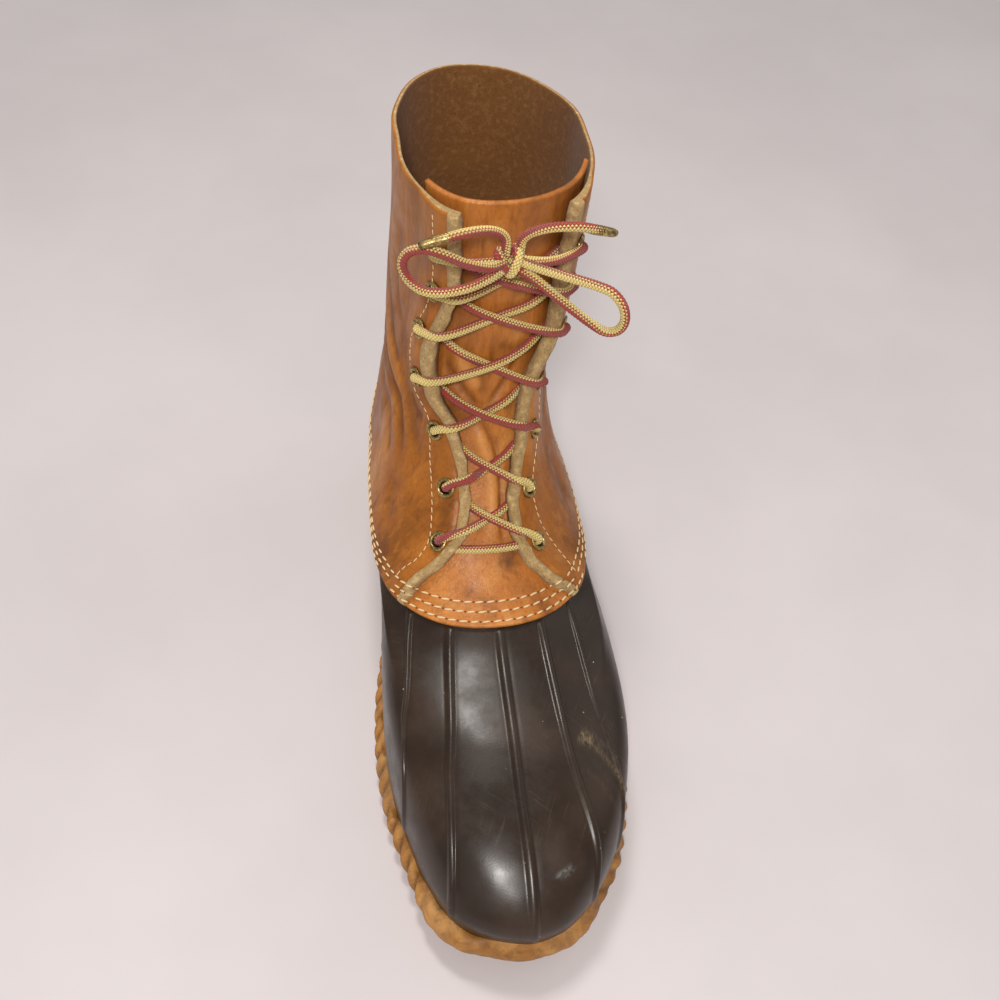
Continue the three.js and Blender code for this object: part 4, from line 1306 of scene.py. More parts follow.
@dataclass(frozen=True)
class Bow:
    """The bow over the tongue: knot, two loops and two ends, in millimetres from the knot's centre."""

    up: float = 7.72
    round: float = 0.012
    out: float = 11.0
    tip_length: float = 13.0
    tip_grip: float = 7.0
    tip_radii: tuple[float, ...] = (1.75, 1.95, 2.0, 1.95, 1.9, 1.85, 1.8, 1.7, 1.2)
    loop_outer: tuple[tuple[float, float, float], ...] = (
        (2.3, -2.2, 1.3), (6.5, -6.2, 1.9), (16.3, -15.5, 4.5), (26.9, -25.6, 7.5), (31.3, -29.7, 7.7),
        (34.9, -33.1, 4.3), (36.2, -34.4, -1.5), (34.9, -33.1, -7.2), (31.3, -29.8, -10.7),
        (27, -25.6, -10.5), (16.3, -15.5, -6.9), (7.2, -6.9, -3.2), (2.6, -2.5, -2.3))
    loop_inner: tuple[tuple[float, float, float], ...] = (
        (-3.2, -2.5, 1.3), (-9, -6.5, 1.9), (-18.8, -10.8, 7.2), (-28.7, -10.4, 12.4), (-34.8, -8, 12.6),
        (-39.8, -5.3, 9.1), (-41.8, -4.2, 3.2), (-39.9, -5.3, -2.6), (-34.9, -8, -6.2), (-28.8, -10.3, -6),
        (-18.8, -10.8, -4.1), (-10, -7.1, -3.2), (-3.6, -2.8, -2.3))
    end_outer: tuple[tuple[float, float, float], ...] = (
        (2.6, 0.4, 2), (3.4, 0, 10), (10, -5, 18), (21, -8, 20.6), (32, -5, 16))
    end_inner: tuple[tuple[float, float, float], ...] = (
        (-2.6, 0.4, 2), (-3.4, 0, 10), (-10, -5, 17.5), (-20, -9, 20), (-31, -9.5, 17))
    wraps: tuple[tuple[float, float, float, tuple[float, float, float]], ...] = (
        (1.6, 4.4, 5.0, (0.3, -0.9, 0.3)), (-2.2, 3.4, 3.8, (-3.2, 0.0, -0.6)),
        (-2.0, 3.4, 3.8, (3.6, 0.2, -0.8)))
    wrap_steps: int = 42

    def centre(self) -> Array:
        """The knot's centre."""
        return LAST.skin(self.round, self.up, self.out)[0]

    def cord(self, form: str, steps: Sequence[Sequence[float]], looks: Finishes) -> None:
        """A loop or an end of the bow, as a free cord.

        Args:
            form: Which loop or end.
            steps: Its middle line from the knot's centre.
            looks: The materials.
        """
        loop = form.startswith("loop")
        line = curve_through(self.centre() + np.array(steps, float), FIT.plait)
        piece = lace_piece(f"bow_{form}", [line], [f"lace_{form}"], looks)
        tips = [] if loop else [self.tip(form.replace("end", "lace_tip"), line, looks)]

    def tip(self, name: str, line: Array, looks: Finishes) -> bpy.types.Object:
        """The hard tip on a lace's end.

        Args:
            name: The piece's name.
            line: The end's middle line.
            looks: The materials.

        Returns:
            The tip.
        """
        way = unit(line[-1] - line[-3])
        from_, to = line[-1] - way * self.tip_grip, line[-1] + way * (self.tip_length - self.tip_grip)
        places = from_ + (to - from_) * np.linspace(0, 1, len(self.tip_radii))[:, None]
        bm = bmesh.new()
        tube(bm, places, np.array(self.tip_radii))
        return finish_piece(name, bm, [looks.brass])

    def knot(self, looks: Finishes) -> None:
        """The knot: a strand wrapped slantwise round the loops' roots, with a turn of lace on each side."""
        angles = np.linspace(0, 2 * math.pi, self.wrap_steps)
        rings = [np.stack([lean * np.cos(angles), deep * np.sin(angles), high * np.cos(angles)], 1)
                 for lean, deep, high, _ in self.wraps]
        lines = [self.centre() + ring + np.array(wrap[3]) for ring, wrap in zip(rings, self.wraps)]
        lace_piece("bow_knot", lines, ["lace_knot"], looks)

    def build(self, looks: Finishes) -> None:
        """Builds the bow."""
        for form, steps in (("loop_outer", self.loop_outer), ("loop_inner", self.loop_inner),
                            ("end_outer", self.end_outer), ("end_inner", self.end_inner)):
            self.cord(form, steps, looks)
        self.knot(looks)


@dataclass(frozen=True)
class Laces:
    """The lace's two runs up through the eyelets; they share the bar across the vamp."""

    bow: Bow
    lift: float = 0.35
    outer_under_row: int = 3
    near_eyelet: float = 5.6

    def under_eyelet(self, eyelet: Eyelet) -> list[Array]:
        """Points that bring the lace up through an eyelet."""
        return [eyelet.point - eyelet.axis * (eyelet.wall + 2.0), eyelet.point - eyelet.axis * 0.8]

    def over_rim(self, eyelet: Eyelet, toward: Array) -> Array:
        """A point just outside an eyelet, leaning toward the next point."""
        return eyelet.point + eyelet.axis * 1.5 + unit(toward - eyelet.point)

    def strand(self, side: Side, row: int) -> list[Array]:
        """One strand from an eyelet, over its facing and the tongue, under the other facing to the next.

        Args:
            side: The side that it starts from.
            row: The row that it starts from.

        Returns:
            Points of its middle line.
        """
        from_, to = seat(side, row), seat(side.other, row + 1)
        half = FIT.lace / 2
        shares = np.linspace(0, 1, 501)

        def place(share: Union[Array, float]) -> tuple[Array, Array]:
            """Place round and up the last at a share of the way."""
            return from_.round + (to.round - from_.round) * share, from_.up + (to.up - from_.up) * share

        def crossing(edge: Side) -> float:
            """Share of the way at which the strand meets a cut edge."""
            rounds, ups = place(shares)
            return float(shares[np.argmax(side.value * (rounds - FIT.throat(edge, ups)) <= 0)])

        def on_tongue(share: float, more: float) -> Array:
            """A point over the tongue."""
            round_, up = place(share)
            return LAST.skin(round_, up, float(FIT.tongue_out(up)) + half + more)[0]

        leave, arrive = crossing(side), crossing(side.other)
        over = (side is Side.OUTER) == (row != self.outer_under_row)
        rise = FIT.lace - 0.5 if over else 0.0
        up = place(leave * 0.55)[1]
        near_round, _, _, near = facing_place(side, up, self.near_eyelet)
        edge_round, edge_up = place(leave)
        raised = FIT.leather_out(edge_up) + FIT.facing_raise(edge_up) + FIT.flare(edge_up)
        return [
            *self.under_eyelet(from_),
            self.over_rim(from_, near),
            near + LAST.normal_at(near_round, up) * (half + self.lift),
            LAST.skin(edge_round, edge_up, float(raised) + half + 0.9)[0],
            on_tongue(leave + (arrive - leave) * 0.5, rise + self.lift),
            on_tongue(leave + (arrive - leave) * 0.80, rise * 0.2 + self.lift),
            on_tongue(arrive + (1 - arrive) * 0.22, -0.6),
            on_tongue(arrive + (1 - arrive) * 0.7, -0.2),
        ]

    def bar(self, side: Side) -> list[Array]:
        """The bar across the vamp, from under one facing to the lowest eyelet of the other.

        Args:
            side: The side that it goes to.

        Returns:
            Points of its middle line.
        """
        up = FIT.eyelet_rows[0] - 0.02
        start, end = float(FIT.throat(Side.INNER, up)), float(FIT.throat(Side.OUTER, up))
        out = float(FIT.leather_out(up)) + FIT.lace / 2
        shares = (-0.18, 0.02, 0.25, 0.5, 0.75, 0.98, 1.18) if side is Side.OUTER else (-0.10, -0.22)
        lifts = (-1.0, 0.1, 0.4, 0.4, 0.4, 0.1, -1.0) if side is Side.OUTER else (-1.0, -1.2)
        return [LAST.skin(start + (end - start) * s, up, out + more)[0] for s, more in zip(shares, lifts)]

    def last_leg(self, side: Side) -> list[Array]:
        """From the top eyelet to the knot."""
        top = seat(side, len(FIT.eyelet_rows) - 1)
        half = FIT.lace / 2
        round_, _, _, near = facing_place(side, top.up + 0.05, self.near_eyelet)
        middle = LAST.skin((round_ + self.bow.round) / 2, top.up + 0.12, self.bow.out - 1.0)[0]
        return [
            *self.under_eyelet(top),
            self.over_rim(top, near),
            near + LAST.normal_at(round_, top.up) * (half + self.lift + 0.6),
            middle,
            self.bow.centre(),
        ]

    def run(self, side: Side) -> Array:
        """One whole run of the lace that starts on one side.

        Args:
            side: The side of its lowest eyelet.

        Returns:
            Even points of its middle line.
        """
        points = self.bar(side)
        for row in range(len(FIT.eyelet_rows) - 1):
            points += self.strand(side, row)
            side = side.other
        return curve_through(points + self.last_leg(side), FIT.plait)

    def build(self, looks: Finishes) -> None:
        """Builds both runs."""
        nodes = ["lace_bar"] + [f"lace_cross_{row + 1}" for row in range(len(FIT.eyelet_rows) - 1)]
        for side in Side:
            lace_piece(f"lace_run_{side.name.lower()}", [self.run(side)], nodes, looks)


@dataclass(frozen=True)
class Upper:
    """The leather quarters, and the vamp and tongue that run up under them as one sheet."""

    hole: float = 3.1
    hole_margin: float = 0.55
    seat_flat: float = 4.9
    seat_reach: float = 8.0
    hem_radius: float = 0.9
    tongue_wall: float = 1.9
    band_up: tuple[float, ...] = (4.0, 5.9, 6.15, 6.55, 6.85, 8.0)
    band_inner: tuple[float, ...] = (4.2, 4.3, 5.8, 5.9, 4.6, 4.3)
    band_outer: tuple[float, ...] = (4.2, 4.2, 4.4, 5.6, 5.2, 4.3)
    middle_columns: int = 130
    edge_steps: tuple[float, ...] = (
        0, 0.25, 0.6, 1.0, 1.5, 2.1, 2.7, 3.2, 3.6, 3.95, 4.3, 4.7, 5.2, 5.9, 6.8, 7.8, 9.0, 10.2, 11.4, 12.6,
        13.8, 15.2, 17.0, 19.2, 21.6, 24.0)
    tongue_columns: int = 84
    lower_ups: tuple[float, ...] = (4.0, 4.006, 4.015, 4.028, 4.045, 4.065, 4.09, 4.115)
    stains: tuple[tuple[float, float, float], ...] = (
        (0.026, 4.61, 5.0), (0.034, 4.66, 3.0), (0.0262, 6.575, 2.4), (0.05, 6.0, 3.0))
    folds: tuple[Fold, ...] = (
        Fold(((-0.30, 6.30), (-0.2475, 6.075), (-0.216, 5.975), (-0.18, 5.85), (-0.1625, 5.60),
              (-0.155, 5.35)), 2.4, 1.9),
        Fold(((-0.33, 6.12), (-0.28, 5.98), (-0.235, 5.90), (-0.20, 5.86)), 1.8, 1.0),
        Fold(((-0.145, 6.05), (-0.135, 5.93), (-0.115, 5.86), (-0.10, 5.88)), 2.2, 1.6),
        Fold(((-0.27, 6.45), (-0.225, 6.22), (-0.19, 6.10), (-0.165, 5.95)), 4.2, -1.2),
        Fold(((-0.36, 6.00), (-0.31, 5.84), (-0.25, 5.72), (-0.20, 5.55)), 3.8, 1.1),
        Fold(((-0.44, 6.25), (-0.38, 6.12), (-0.32, 6.18)), 4.5, 1.2),
        Fold(((-0.156, 6.60), (-0.165, 6.30), (-0.160, 6.05), (-0.125, 5.70), (-0.112, 5.40)), 3.2, 0.9),
        Fold(((-0.20, 7.50), (-0.21, 7.00), (-0.235, 6.60)), 5.0, 0.9),
        Fold(((-0.275, 6.95), (-0.245, 6.60), (-0.205, 6.32), (-0.175, 6.16)), 1.7, 1.0),
        Fold(((-0.24, 7.10), (-0.205, 6.74), (-0.176, 6.50)), 1.9, 0.8),
        Fold(((-0.225, 5.80), (-0.205, 5.52), (-0.195, 5.25)), 2.2, 0.8),
        Fold(((0.205, 6.62), (0.190, 6.30), (0.180, 6.02), (0.160, 5.86)), 1.8, 0.9),
        Fold(((-0.17, 5.20), (-0.185, 4.90), (-0.19, 4.65)), 4.0, 0.7),
        Fold(((0.30, 6.25), (0.25, 6.02), (0.21, 5.90), (0.172, 5.80), (0.150, 5.55)), 3.6, 1.5),
        Fold(((0.29, 6.50), (0.24, 6.25), (0.20, 6.12)), 4.4, -1.1),
        Fold(((0.38, 6.02), (0.33, 5.80), (0.27, 5.66), (0.22, 5.45)), 3.8, 1.1),
        Fold(((0.46, 6.20), (0.40, 6.05), (0.35, 6.12)), 4.5, 1.1),
        Fold(((0.22, 7.60), (0.225, 7.05), (0.245, 6.60)), 5.0, 0.8),
        Fold(((0.165, 5.40), (0.18, 5.05), (0.20, 4.75)), 4.0, 0.8),
        Fold(((0.44, 7.2), (0.49, 7.0), (0.55, 7.1)), 6.0, 0.7),
        Fold(((0.43, 5.6), (0.50, 5.45), (0.57, 5.6)), 6.0, 0.8),
    )
    tongue_folds: tuple[Fold, ...] = (
        Fold(((-0.075, 6.42), (-0.0587, 6.275), (-0.0413, 6.19), (-0.021, 6.075), (-0.004, 5.963)), 1.7, 2.0),
        Fold(((0.070, 6.46), (0.055, 6.34), (0.0425, 6.225), (0.024, 6.11), (0.003, 5.97)), 1.7, 1.8),
        Fold(((-0.052, 6.60), (-0.038, 6.42), (-0.018, 6.27), (0.002, 6.14)), 3.0, -1.3),
        Fold(((-0.004, 5.98), (0.001, 5.863), (0.010, 5.763), (0.019, 5.663), (0.0275, 5.45), (0.0275, 5.263),
              (0.025, 5.075), (0.021, 4.863), (0.022, 4.62)), 1.2, 2.6),
        Fold(((-0.010, 5.85), (-0.002, 5.70), (0.008, 5.50), (0.012, 5.25), (0.010, 5.05), (0.007, 4.80)),
             3.0, -1.5),
        Fold(((0.000, 6.45), (0.002, 6.25), (0.002, 6.08)), 3.0, 0.8),
        Fold(((-0.045, 7.0), (-0.03, 6.7), (-0.035, 6.4)), 3.4, 0.5),
        Fold(((0.05, 7.1), (0.045, 6.8), (0.055, 6.5)), 3.4, -0.6),
        Fold(((-0.040, 6.74), (-0.012, 6.70), (0.020, 6.73)), 0.9, 0.35),
        Fold(((-0.036, 6.58), (-0.006, 6.55), (0.024, 6.60)), 0.8, 0.4),
        Fold(((-0.030, 6.86), (0.000, 6.83), (0.030, 6.86)), 0.9, 0.3),
        Fold(((-0.014, 5.34), (0.000, 5.28), (0.016, 5.33)), 0.8, 0.35),
    )

    def band(self, outer_side: Array, ups: Array) -> Array:
        """How wide the raw cut edge shows."""
        outer, inner = eased(self.band_up, self.band_outer, ups), eased(self.band_up, self.band_inner, ups)
        return np.where(outer_side, outer, inner)

    def quarter_lift(self, rounds: Array, ups: Array, base: Array) -> tuple[Array, Array]:
        """Stand-off of the quarters' two faces.

        Args:
            rounds: Places round the last, on either side.
            ups: Heights.
            base: The last's points there.

        Returns:
            Stand-off of the outer and the inner face.
        """
        outer_side = rounds % 1.0 < 0.5
        away = np.linalg.norm(base - LAST.point(FIT.own_throat(outer_side, ups), ups), axis=1)
        near = 1.0 - smooth(0, FIT.facing_reach, away)
        pinch = 0.5 + 0.5 * smooth(4.0, 4.35, ups)
        raised = (FIT.facing_raise(ups) * pinch + FIT.flare(ups)) * near
        gap, band = edge_gap(base, outer_side), self.band(outer_side, ups)
        half = band / 2
        ridge = 0.62 * np.sqrt(np.clip(half**2 - (gap - half) ** 2, 0, None)) - 0.6
        ridge += 0.1 * wander(base, 9.0, 11) * smooth(0, 0.8, gap)
        beyond = -0.6 * (1 - smooth(0, 2.0, gap - band))
        roll = np.where(gap < band, ridge, beyond)
        swell = 0.45 * wander(base, 34.0, 3) * smooth(FIT.edge, FIT.edge + 0.4, ups)
        outer = FIT.leather_out(ups) + raised + roll + swell
        return outer, FIT.leather_out(ups) - FIT.leather + FIT.flare(ups) * near + swell

    def rounded(self, gap: Array) -> Array:
        """How far a face dips where it rolls over an edge."""
        inside = 1.0 - np.clip(gap / self.hem_radius, 0, 1)
        return self.hem_radius * (1.0 - np.sqrt(np.clip(1.0 - inside**2, 0, 1)))

    def hem(self, base: Array, rows: int) -> Array:
        """How far a face dips at its lower and upper edges, from points of the last in so many rows."""
        run = run_along(base.reshape(rows, -1, 3))
        return self.rounded(run.ravel()) + self.rounded((run[-1] - run).ravel())

    def quarter_edge(self, side: Side, ups: Array, away: Array) -> Array:
        """Places that lie some millimetres back from a cut edge, a row for each height."""
        whole_turns = 0 if side is Side.OUTER else 1
        ups = np.repeat(ups[:, None], away.shape[1], 1)
        edge = whole_turns + FIT.throat(side, ups.ravel())
        return LAST.step(edge, ups.ravel(), side.value * away.ravel()).reshape(ups.shape)[:, ::side.value]

    def quarter_surface(self, rounds: Array, ups: Array) -> Array:
        """Points on the quarters' outer face, folds and all."""
        base, normal = LAST.point(rounds, ups), LAST.normal(rounds, ups)
        outer, _ = self.quarter_lift(rounds, ups, base)
        move, _ = fold_relief(self.folds, base)
        return base + normal * (outer + move)[:, None]

    def plug_lift(self, base: Array, ups: Array) -> Array:
        """Stand-off of the vamp's and tongue's outer face at points of the last."""
        blend = smooth(4.70, 5.10, ups)
        swell = 0.25 * wander(base, 22.0, 8) * smooth(FIT.edge, FIT.edge + 0.4, ups)
        return FIT.leather_out(ups) * (1 - blend) + FIT.tongue_out(ups) * blend + swell

    def plug_surface(self, rounds: Array, ups: Array) -> Array:
        """Points on the vamp's and tongue's outer face."""
        base, normal = LAST.point(rounds, ups), LAST.normal(rounds, ups)
        move, _ = fold_relief(self.tongue_folds, base)
        return base + normal * (self.plug_lift(base, ups) + move)[:, None]

    def quarters(self, looks: Finishes) -> None:
        """Builds the two quarters with the eyelet holes, as one wall."""
        ups = np.array([*self.lower_ups, *np.arange(4.14, 4.62, 0.026), *np.arange(4.62, 7.93, 0.034),
                        7.95, 7.97, 7.983, 7.993, FIT.collar])
        steps = np.array(self.edge_steps)
        ripple = 0.22 * np.sin(ups * 19.0) + 0.14 * np.sin(ups * 37.0 + 1.0)
        spread = steps + ripple[:, None] * (1 - smooth(0, 7, steps))
        first, last = (self.quarter_edge(side, ups, spread) for side in Side)
        shares = np.linspace(0, 1, self.middle_columns + 1)[1:-1]
        middle = first[:, -1:] + (last[:, :1] - first[:, -1:]) * shares
        rounds = np.concatenate([first, middle, last], 1)
        rows, columns = rounds.shape
        flat_round, flat_up = rounds.ravel(), np.repeat(ups, columns)
        base, normal = LAST.point(flat_round, flat_up), LAST.normal(flat_round, flat_up)
        outer, inner = self.quarter_lift(flat_round, flat_up, base)
        move, trough = fold_relief(self.folds, base)
        hem = self.hem(base, rows)
        outside = base + normal * (outer + move - hem)[:, None]
        inside = base + normal * (inner + move + 0.4 * hem)[:, None]
        for eyelet in EYELETS:
            away = np.linalg.norm(outside - eyelet.point, axis=1)
            weight = 1 - smooth(self.seat_flat, self.seat_reach, away)
            height = (outside - eyelet.point) @ eyelet.axis
            shift = -(height + 0.1)[:, None] * eyelet.axis * weight[:, None]
            outside, inside = outside + shift, inside + shift
        outside, inside = outside.reshape(rows, columns, 3), inside.reshape(rows, columns, 3)
        bm = bmesh.new()
        layers = new_layers(bm, ("trough", "stain", "rub"))
        outer_table, inner_table = lay_wall(bm, outside, inside, lining=2)
        rub = np.clip(smooth(0.9, 0.2, np.abs(flat_up - 7.9)), 0, 1) * 0.3 + (move > 0.35) * 0.5
        # trough carries the painted shade of the fold troughs
        fill_layers(outer_table, layers, {"trough": trough, "rub": rub})
        outer_side = flat_round < 0.5
        raw = (edge_gap(base, outer_side) < self.band(outer_side, flat_up)).reshape(rows, columns)
        edge = {outer_table[j][k] for j, k in zip(*np.nonzero(raw))}
        for face in bm.faces:
            if all(vert in edge for vert in face.verts):
                face.material_index = 1
        self.cut_holes(bm, outer_table, inner_table, outside)
        finish_piece("leather_quarters", bm, [looks.quarter, looks.suede, looks.flesh],
                     ["upper"])

    def cut_holes(self, bm: bmesh.types.BMesh, outer: Table, inner: Table, outside: Array) -> None:
        """Joins the two faces at the rims and opens a round hole under each eyelet.

        Args:
            bm: The wall.
            outer: Vertices of its outer face.
            inner: Vertices of its inner face.
            outside: The outer face's points.
        """
        for face in bmesh.ops.bridge_loops(bm, edges=open_edges(bm))["faces"]:
            face.material_index = 1
        matched = {a: b for line_a, line_b in zip(outer, inner) for a, b in zip(line_a, line_b)}
        for eyelet in EYELETS:
            offset = outside - eyelet.point
            height = offset @ eyelet.axis
            radial = np.linalg.norm(offset - height[..., None] * eyelet.axis, axis=2)
            near = (radial < self.hole - self.hole_margin) & (np.abs(height) < 5)
            doomed = {outer[j][k] for j, k in zip(*np.nonzero(near))}
            pairs = doomed | {matched[v] for v in doomed}
            bmesh.ops.delete(bm, geom=list(pairs), context="VERTS")
            edges = open_edges(bm)
            axis, centre = Vector(eyelet.axis), Vector(eyelet.point * MM)
            for vert in {v for e in edges for v in e.verts}:
                rise = (vert.co - centre).dot(axis)
                flat = vert.co - centre - axis * rise
                if flat.length > 1e-6:
                    vert.co = centre + axis * rise + flat.normalized() * self.hole * MM
            for face in bmesh.ops.bridge_loops(bm, edges=edges)["faces"]:
                face.material_index = 1

    def vamp_and_tongue(self, looks: Finishes) -> None:
        """Builds the vamp and the tongue as one sheet."""
        ups = np.array([*self.lower_ups, *np.arange(4.14, 8.0, 0.03), 8.02, 8.04, 8.05, FIT.tongue_top])
        shares = np.linspace(-1, 1, self.tongue_columns)
        inner_edge, outer_edge = FIT.throat(Side.INNER, ups), FIT.throat(Side.OUTER, ups)
        half = np.maximum((outer_edge - inner_edge) / 2 + 0.020, 0.058 + 0.112 * smooth(4.62, 6.2, ups))
        rounds = ((outer_edge + inner_edge) / 2)[:, None] + half[:, None] * shares
        flat_round, flat_up = rounds.ravel(), np.repeat(ups, self.tongue_columns)
        base, normal = LAST.point(flat_round, flat_up), LAST.normal(flat_round, flat_up)
        move, trough = fold_relief(self.tongue_folds, base)
        out = self.plug_lift(base, flat_up) + move
        shape = (*rounds.shape, 3)
        outside = (base + normal * (out - self.hem(base, len(ups)))[:, None]).reshape(shape)
        inside = (base + normal * (out - self.tongue_wall)[:, None]).reshape(shape)
        bm = bmesh.new()
        layers = new_layers(bm, ("trough", "stain", "rub"))
        table, _ = lay_wall(bm, outside, inside, lining=1)
        stain = np.zeros(len(base))
        for round_, up, radius in self.stains:
            away = np.linalg.norm(base - LAST.skin(round_, up, 0.0), axis=1)
            stain = np.maximum(stain, np.exp(-(away / radius) ** 2))
        rub = np.clip(move, 0, 1) * 0.8
        # trough carries the painted shade of the fold troughs
        fill_layers(table, layers, {"trough": trough, "stain": stain * 0.75, "rub": rub})
        bmesh.ops.bridge_loops(bm, edges=open_edges(bm))
        finish_piece("leather_vamp_tongue", bm, [looks.tongue, looks.flesh], ["tongue"])

    def build(self, looks: Finishes) -> None:
        """Builds the leather."""
        self.quarters(looks)
        self.vamp_and_tongue(looks)


@dataclass(frozen=True)
class Stitching:
    """Thread through the leather; a stitch has its pitch, its length and its radius, in millimetres."""

    upper: Upper
    rows: tuple[float, ...] = (2.6, 7.0, 11.4)
    stitch: tuple[float, float, float] = (4.9, 3.7, 0.44)
    fine_stitch: tuple[float, float, float] = (3.4, 2.7, 0.24)
    round_mm: float = 400.0
    up_mm: float = 45.0
    stay_inner: tuple[Place, ...] = (
        (-0.148, 4.26), (-0.131, 4.40), (-0.103, 4.58), (-0.087, 4.77), (-0.084, 4.95), (-0.0855, 5.25),
        (-0.089, 5.49), (-0.087, 5.73), (-0.090, 5.90), (-0.105, 6.01), (-0.123, 6.10), (-0.136, 6.27),
        (-0.137, 6.44), (-0.130, 6.61), (-0.113, 6.81), (-0.100, 6.97), (-0.094, 7.30), (-0.102, 7.95))
    stay_outer: tuple[Place, ...] = (
        (0.146, 4.18), (0.140, 4.26), (0.135, 4.34), (0.114, 4.60), (0.090, 4.87), (0.0825, 5.05),
        (0.081, 5.20), (0.086, 5.33), (0.100, 5.50), (0.118, 5.74), (0.126, 6.00), (0.132, 6.30),
        (0.146, 6.60), (0.148, 6.90), (0.146, 7.30), (0.150, 7.95))

    @staticmethod
    def bead(bm: bmesh.types.BMesh, centre: Array, axes: Sequence[Array], rings: int) -> None:
        """A squashed bead.

        Args:
            bm: Mesh to add to.
            centre: Its middle, in millimetres.
            axes: Its three half axes.
            rings: How many rings it has along the first of them.
        """
        place = Matrix.Translation(Vector(centre * MM)) @ Matrix.Scale(MM, 4)
        turn = Matrix(axes).transposed().to_4x4() @ Matrix.Rotation(math.pi / 2, 4, "Y")
        bmesh.ops.create_uvsphere(bm, u_segments=6, v_segments=rings, radius=1.0, matrix=place @ turn)

    def sew(self, bm: bmesh.types.BMesh, line: Array, normals: Array, stitch: tuple[float, float, float],
            shown: Callable[[float], bool]) -> None:
        """Lays stitches along a line, with a bead of painted shade at the hole between each and the next.

        Args:
            bm: Mesh to add to.
            line: Points of the line.
            normals: Outward directions there.
            stitch: From one stitch to the next, a stitch's length and its radius.
            shown: Whether a stitch at a share of the line is sewn.
        """
        pitch, dash, thick = stitch
        run = run_along(line)
        source = np.random.default_rng(5)
        for middle in np.arange(pitch / 2, run[-1] - pitch / 2, pitch):
            if not shown(middle / run[-1]):
                continue
            half = dash / 2 * source.uniform(0.9, 1.06)
            a, b, c, n = (np.array([np.interp(x, run, rows[:, k]) for k in range(3)]) for x, rows in (
                (middle - half, line), (middle + half, line), (middle, line), (middle, normals)))
            along = unit(b - a)
            up = unit(n - along * (n @ along))
            across = np.cross(up, along)
            slant = unit(along + across * 0.12)
            self.bead(bm, c + up * thick * 0.1, (slant * half, across * thick * 1.1, up * thick), 6)
            # A flat dark bead in the gap to the next stitch: painted shade where the thread dives in.
            known = len(bm.faces)
            hole_shade = (along * (pitch - dash) * 0.46, across * thick * 0.95, up * thick * 0.4)
            self.bead(bm, c + along * pitch / 2, hole_shade, 4)
            bm.faces.ensure_lookup_table()
            for face in bm.faces[known:]:
                face.material_index = 1

    def hem_rows(self, looks: Finishes) -> None:
        """Three rows round the boot along the leather's lower edge."""
        signed = np.linspace(-0.5, 0.5, 721)
        ladder = np.arange(4.0, 4.9, 0.02)
        grid = LAST.point(np.tile(signed, len(ladder)), np.repeat(ladder, len(signed)))
        run = run_along(grid.reshape(len(ladder), -1, 3))
        bm = bmesh.new()
        for distance in self.rows:
            ups = np.array([np.interp(distance, column, ladder) for column in run.T])
            on_plug = (signed < FIT.throat(Side.OUTER, ups)) & (signed > FIT.throat(Side.INNER, ups))
            edge = LAST.point(FIT.own_throat(signed > 0, ups), ups)
            gap = np.linalg.norm(LAST.point(signed, ups) - edge, axis=1)
            raw = self.upper.band(signed > 0, ups)
            free = on_plug & (gap > 2.0) | ~on_plug & ((gap > raw + 1.6) | (distance > 4))
            line = np.where(on_plug[:, None], self.upper.plug_surface(signed, ups),
                            self.upper.quarter_surface(signed, ups))
            self.sew(bm, line, LAST.normal(signed, ups), self.stitch,
                     lambda share, free=free: bool(free[int(share * (len(free) - 1))]))
        finish_piece("hem_stitching", bm, [looks.thread, looks.hole_shade])

    def stay_rows(self, looks: Finishes) -> None:
        """A row round each eyelet stay."""
        bm = bmesh.new()
        for places in (self.stay_inner, self.stay_outer):
            path = curve_through([(r * self.round_mm, u * self.up_mm, 0.0) for r, u in places], 1.0)
            rounds, ups = path[:, 0] / self.round_mm, path[:, 1] / self.up_mm
            line = self.upper.quarter_surface(rounds, ups)
            self.sew(bm, line, LAST.normal(rounds, ups), self.fine_stitch, lambda share: True)
        finish_piece("stay_stitching", bm, [looks.thread, looks.hole_shade])

    def build(self, looks: Finishes) -> None:
        """Builds the stitching."""
        self.hem_rows(looks)
        self.stay_rows(looks)


@dataclass(frozen=True)
class Eyelets:
    """Rolled brass eyelets, in millimetres."""

    hole: float = 2.6
    barrel: float = 3.1
    flange: float = 4.5
    lip: float = 1.1
    turn_steps: int = 32

    def build(self, looks: Finishes) -> None:
        """Builds each eyelet in its seat."""
        for eyelet in EYELETS:
            bm = bmesh.new()
            profile = [(self.hole, -eyelet.wall), (self.barrel, -eyelet.wall), (self.barrel, 0.0),
                       (self.flange - 0.15, 0.0), (self.flange, 0.35), (self.flange - 0.2, 0.75),
                       (3.75, self.lip), (3.3, self.lip), (2.9, 0.85), (2.68, 0.45), (self.hole, -0.2)]
            turned_ring(bm, profile, self.turn_steps)
            turn = Vector((0, 0, 1)).rotation_difference(Vector(eyelet.axis)).to_matrix().to_4x4()
            place = Matrix.Translation(Vector(eyelet.point * MM))
            bmesh.ops.transform(bm, matrix=place @ turn, verts=bm.verts)
            side = eyelet.side.name.lower()
            finish_piece(f"brass_{side}_{eyelet.row + 1}", bm, [looks.brass],
                         [f"eyelet_{side}_{eyelet.row + 1}"])


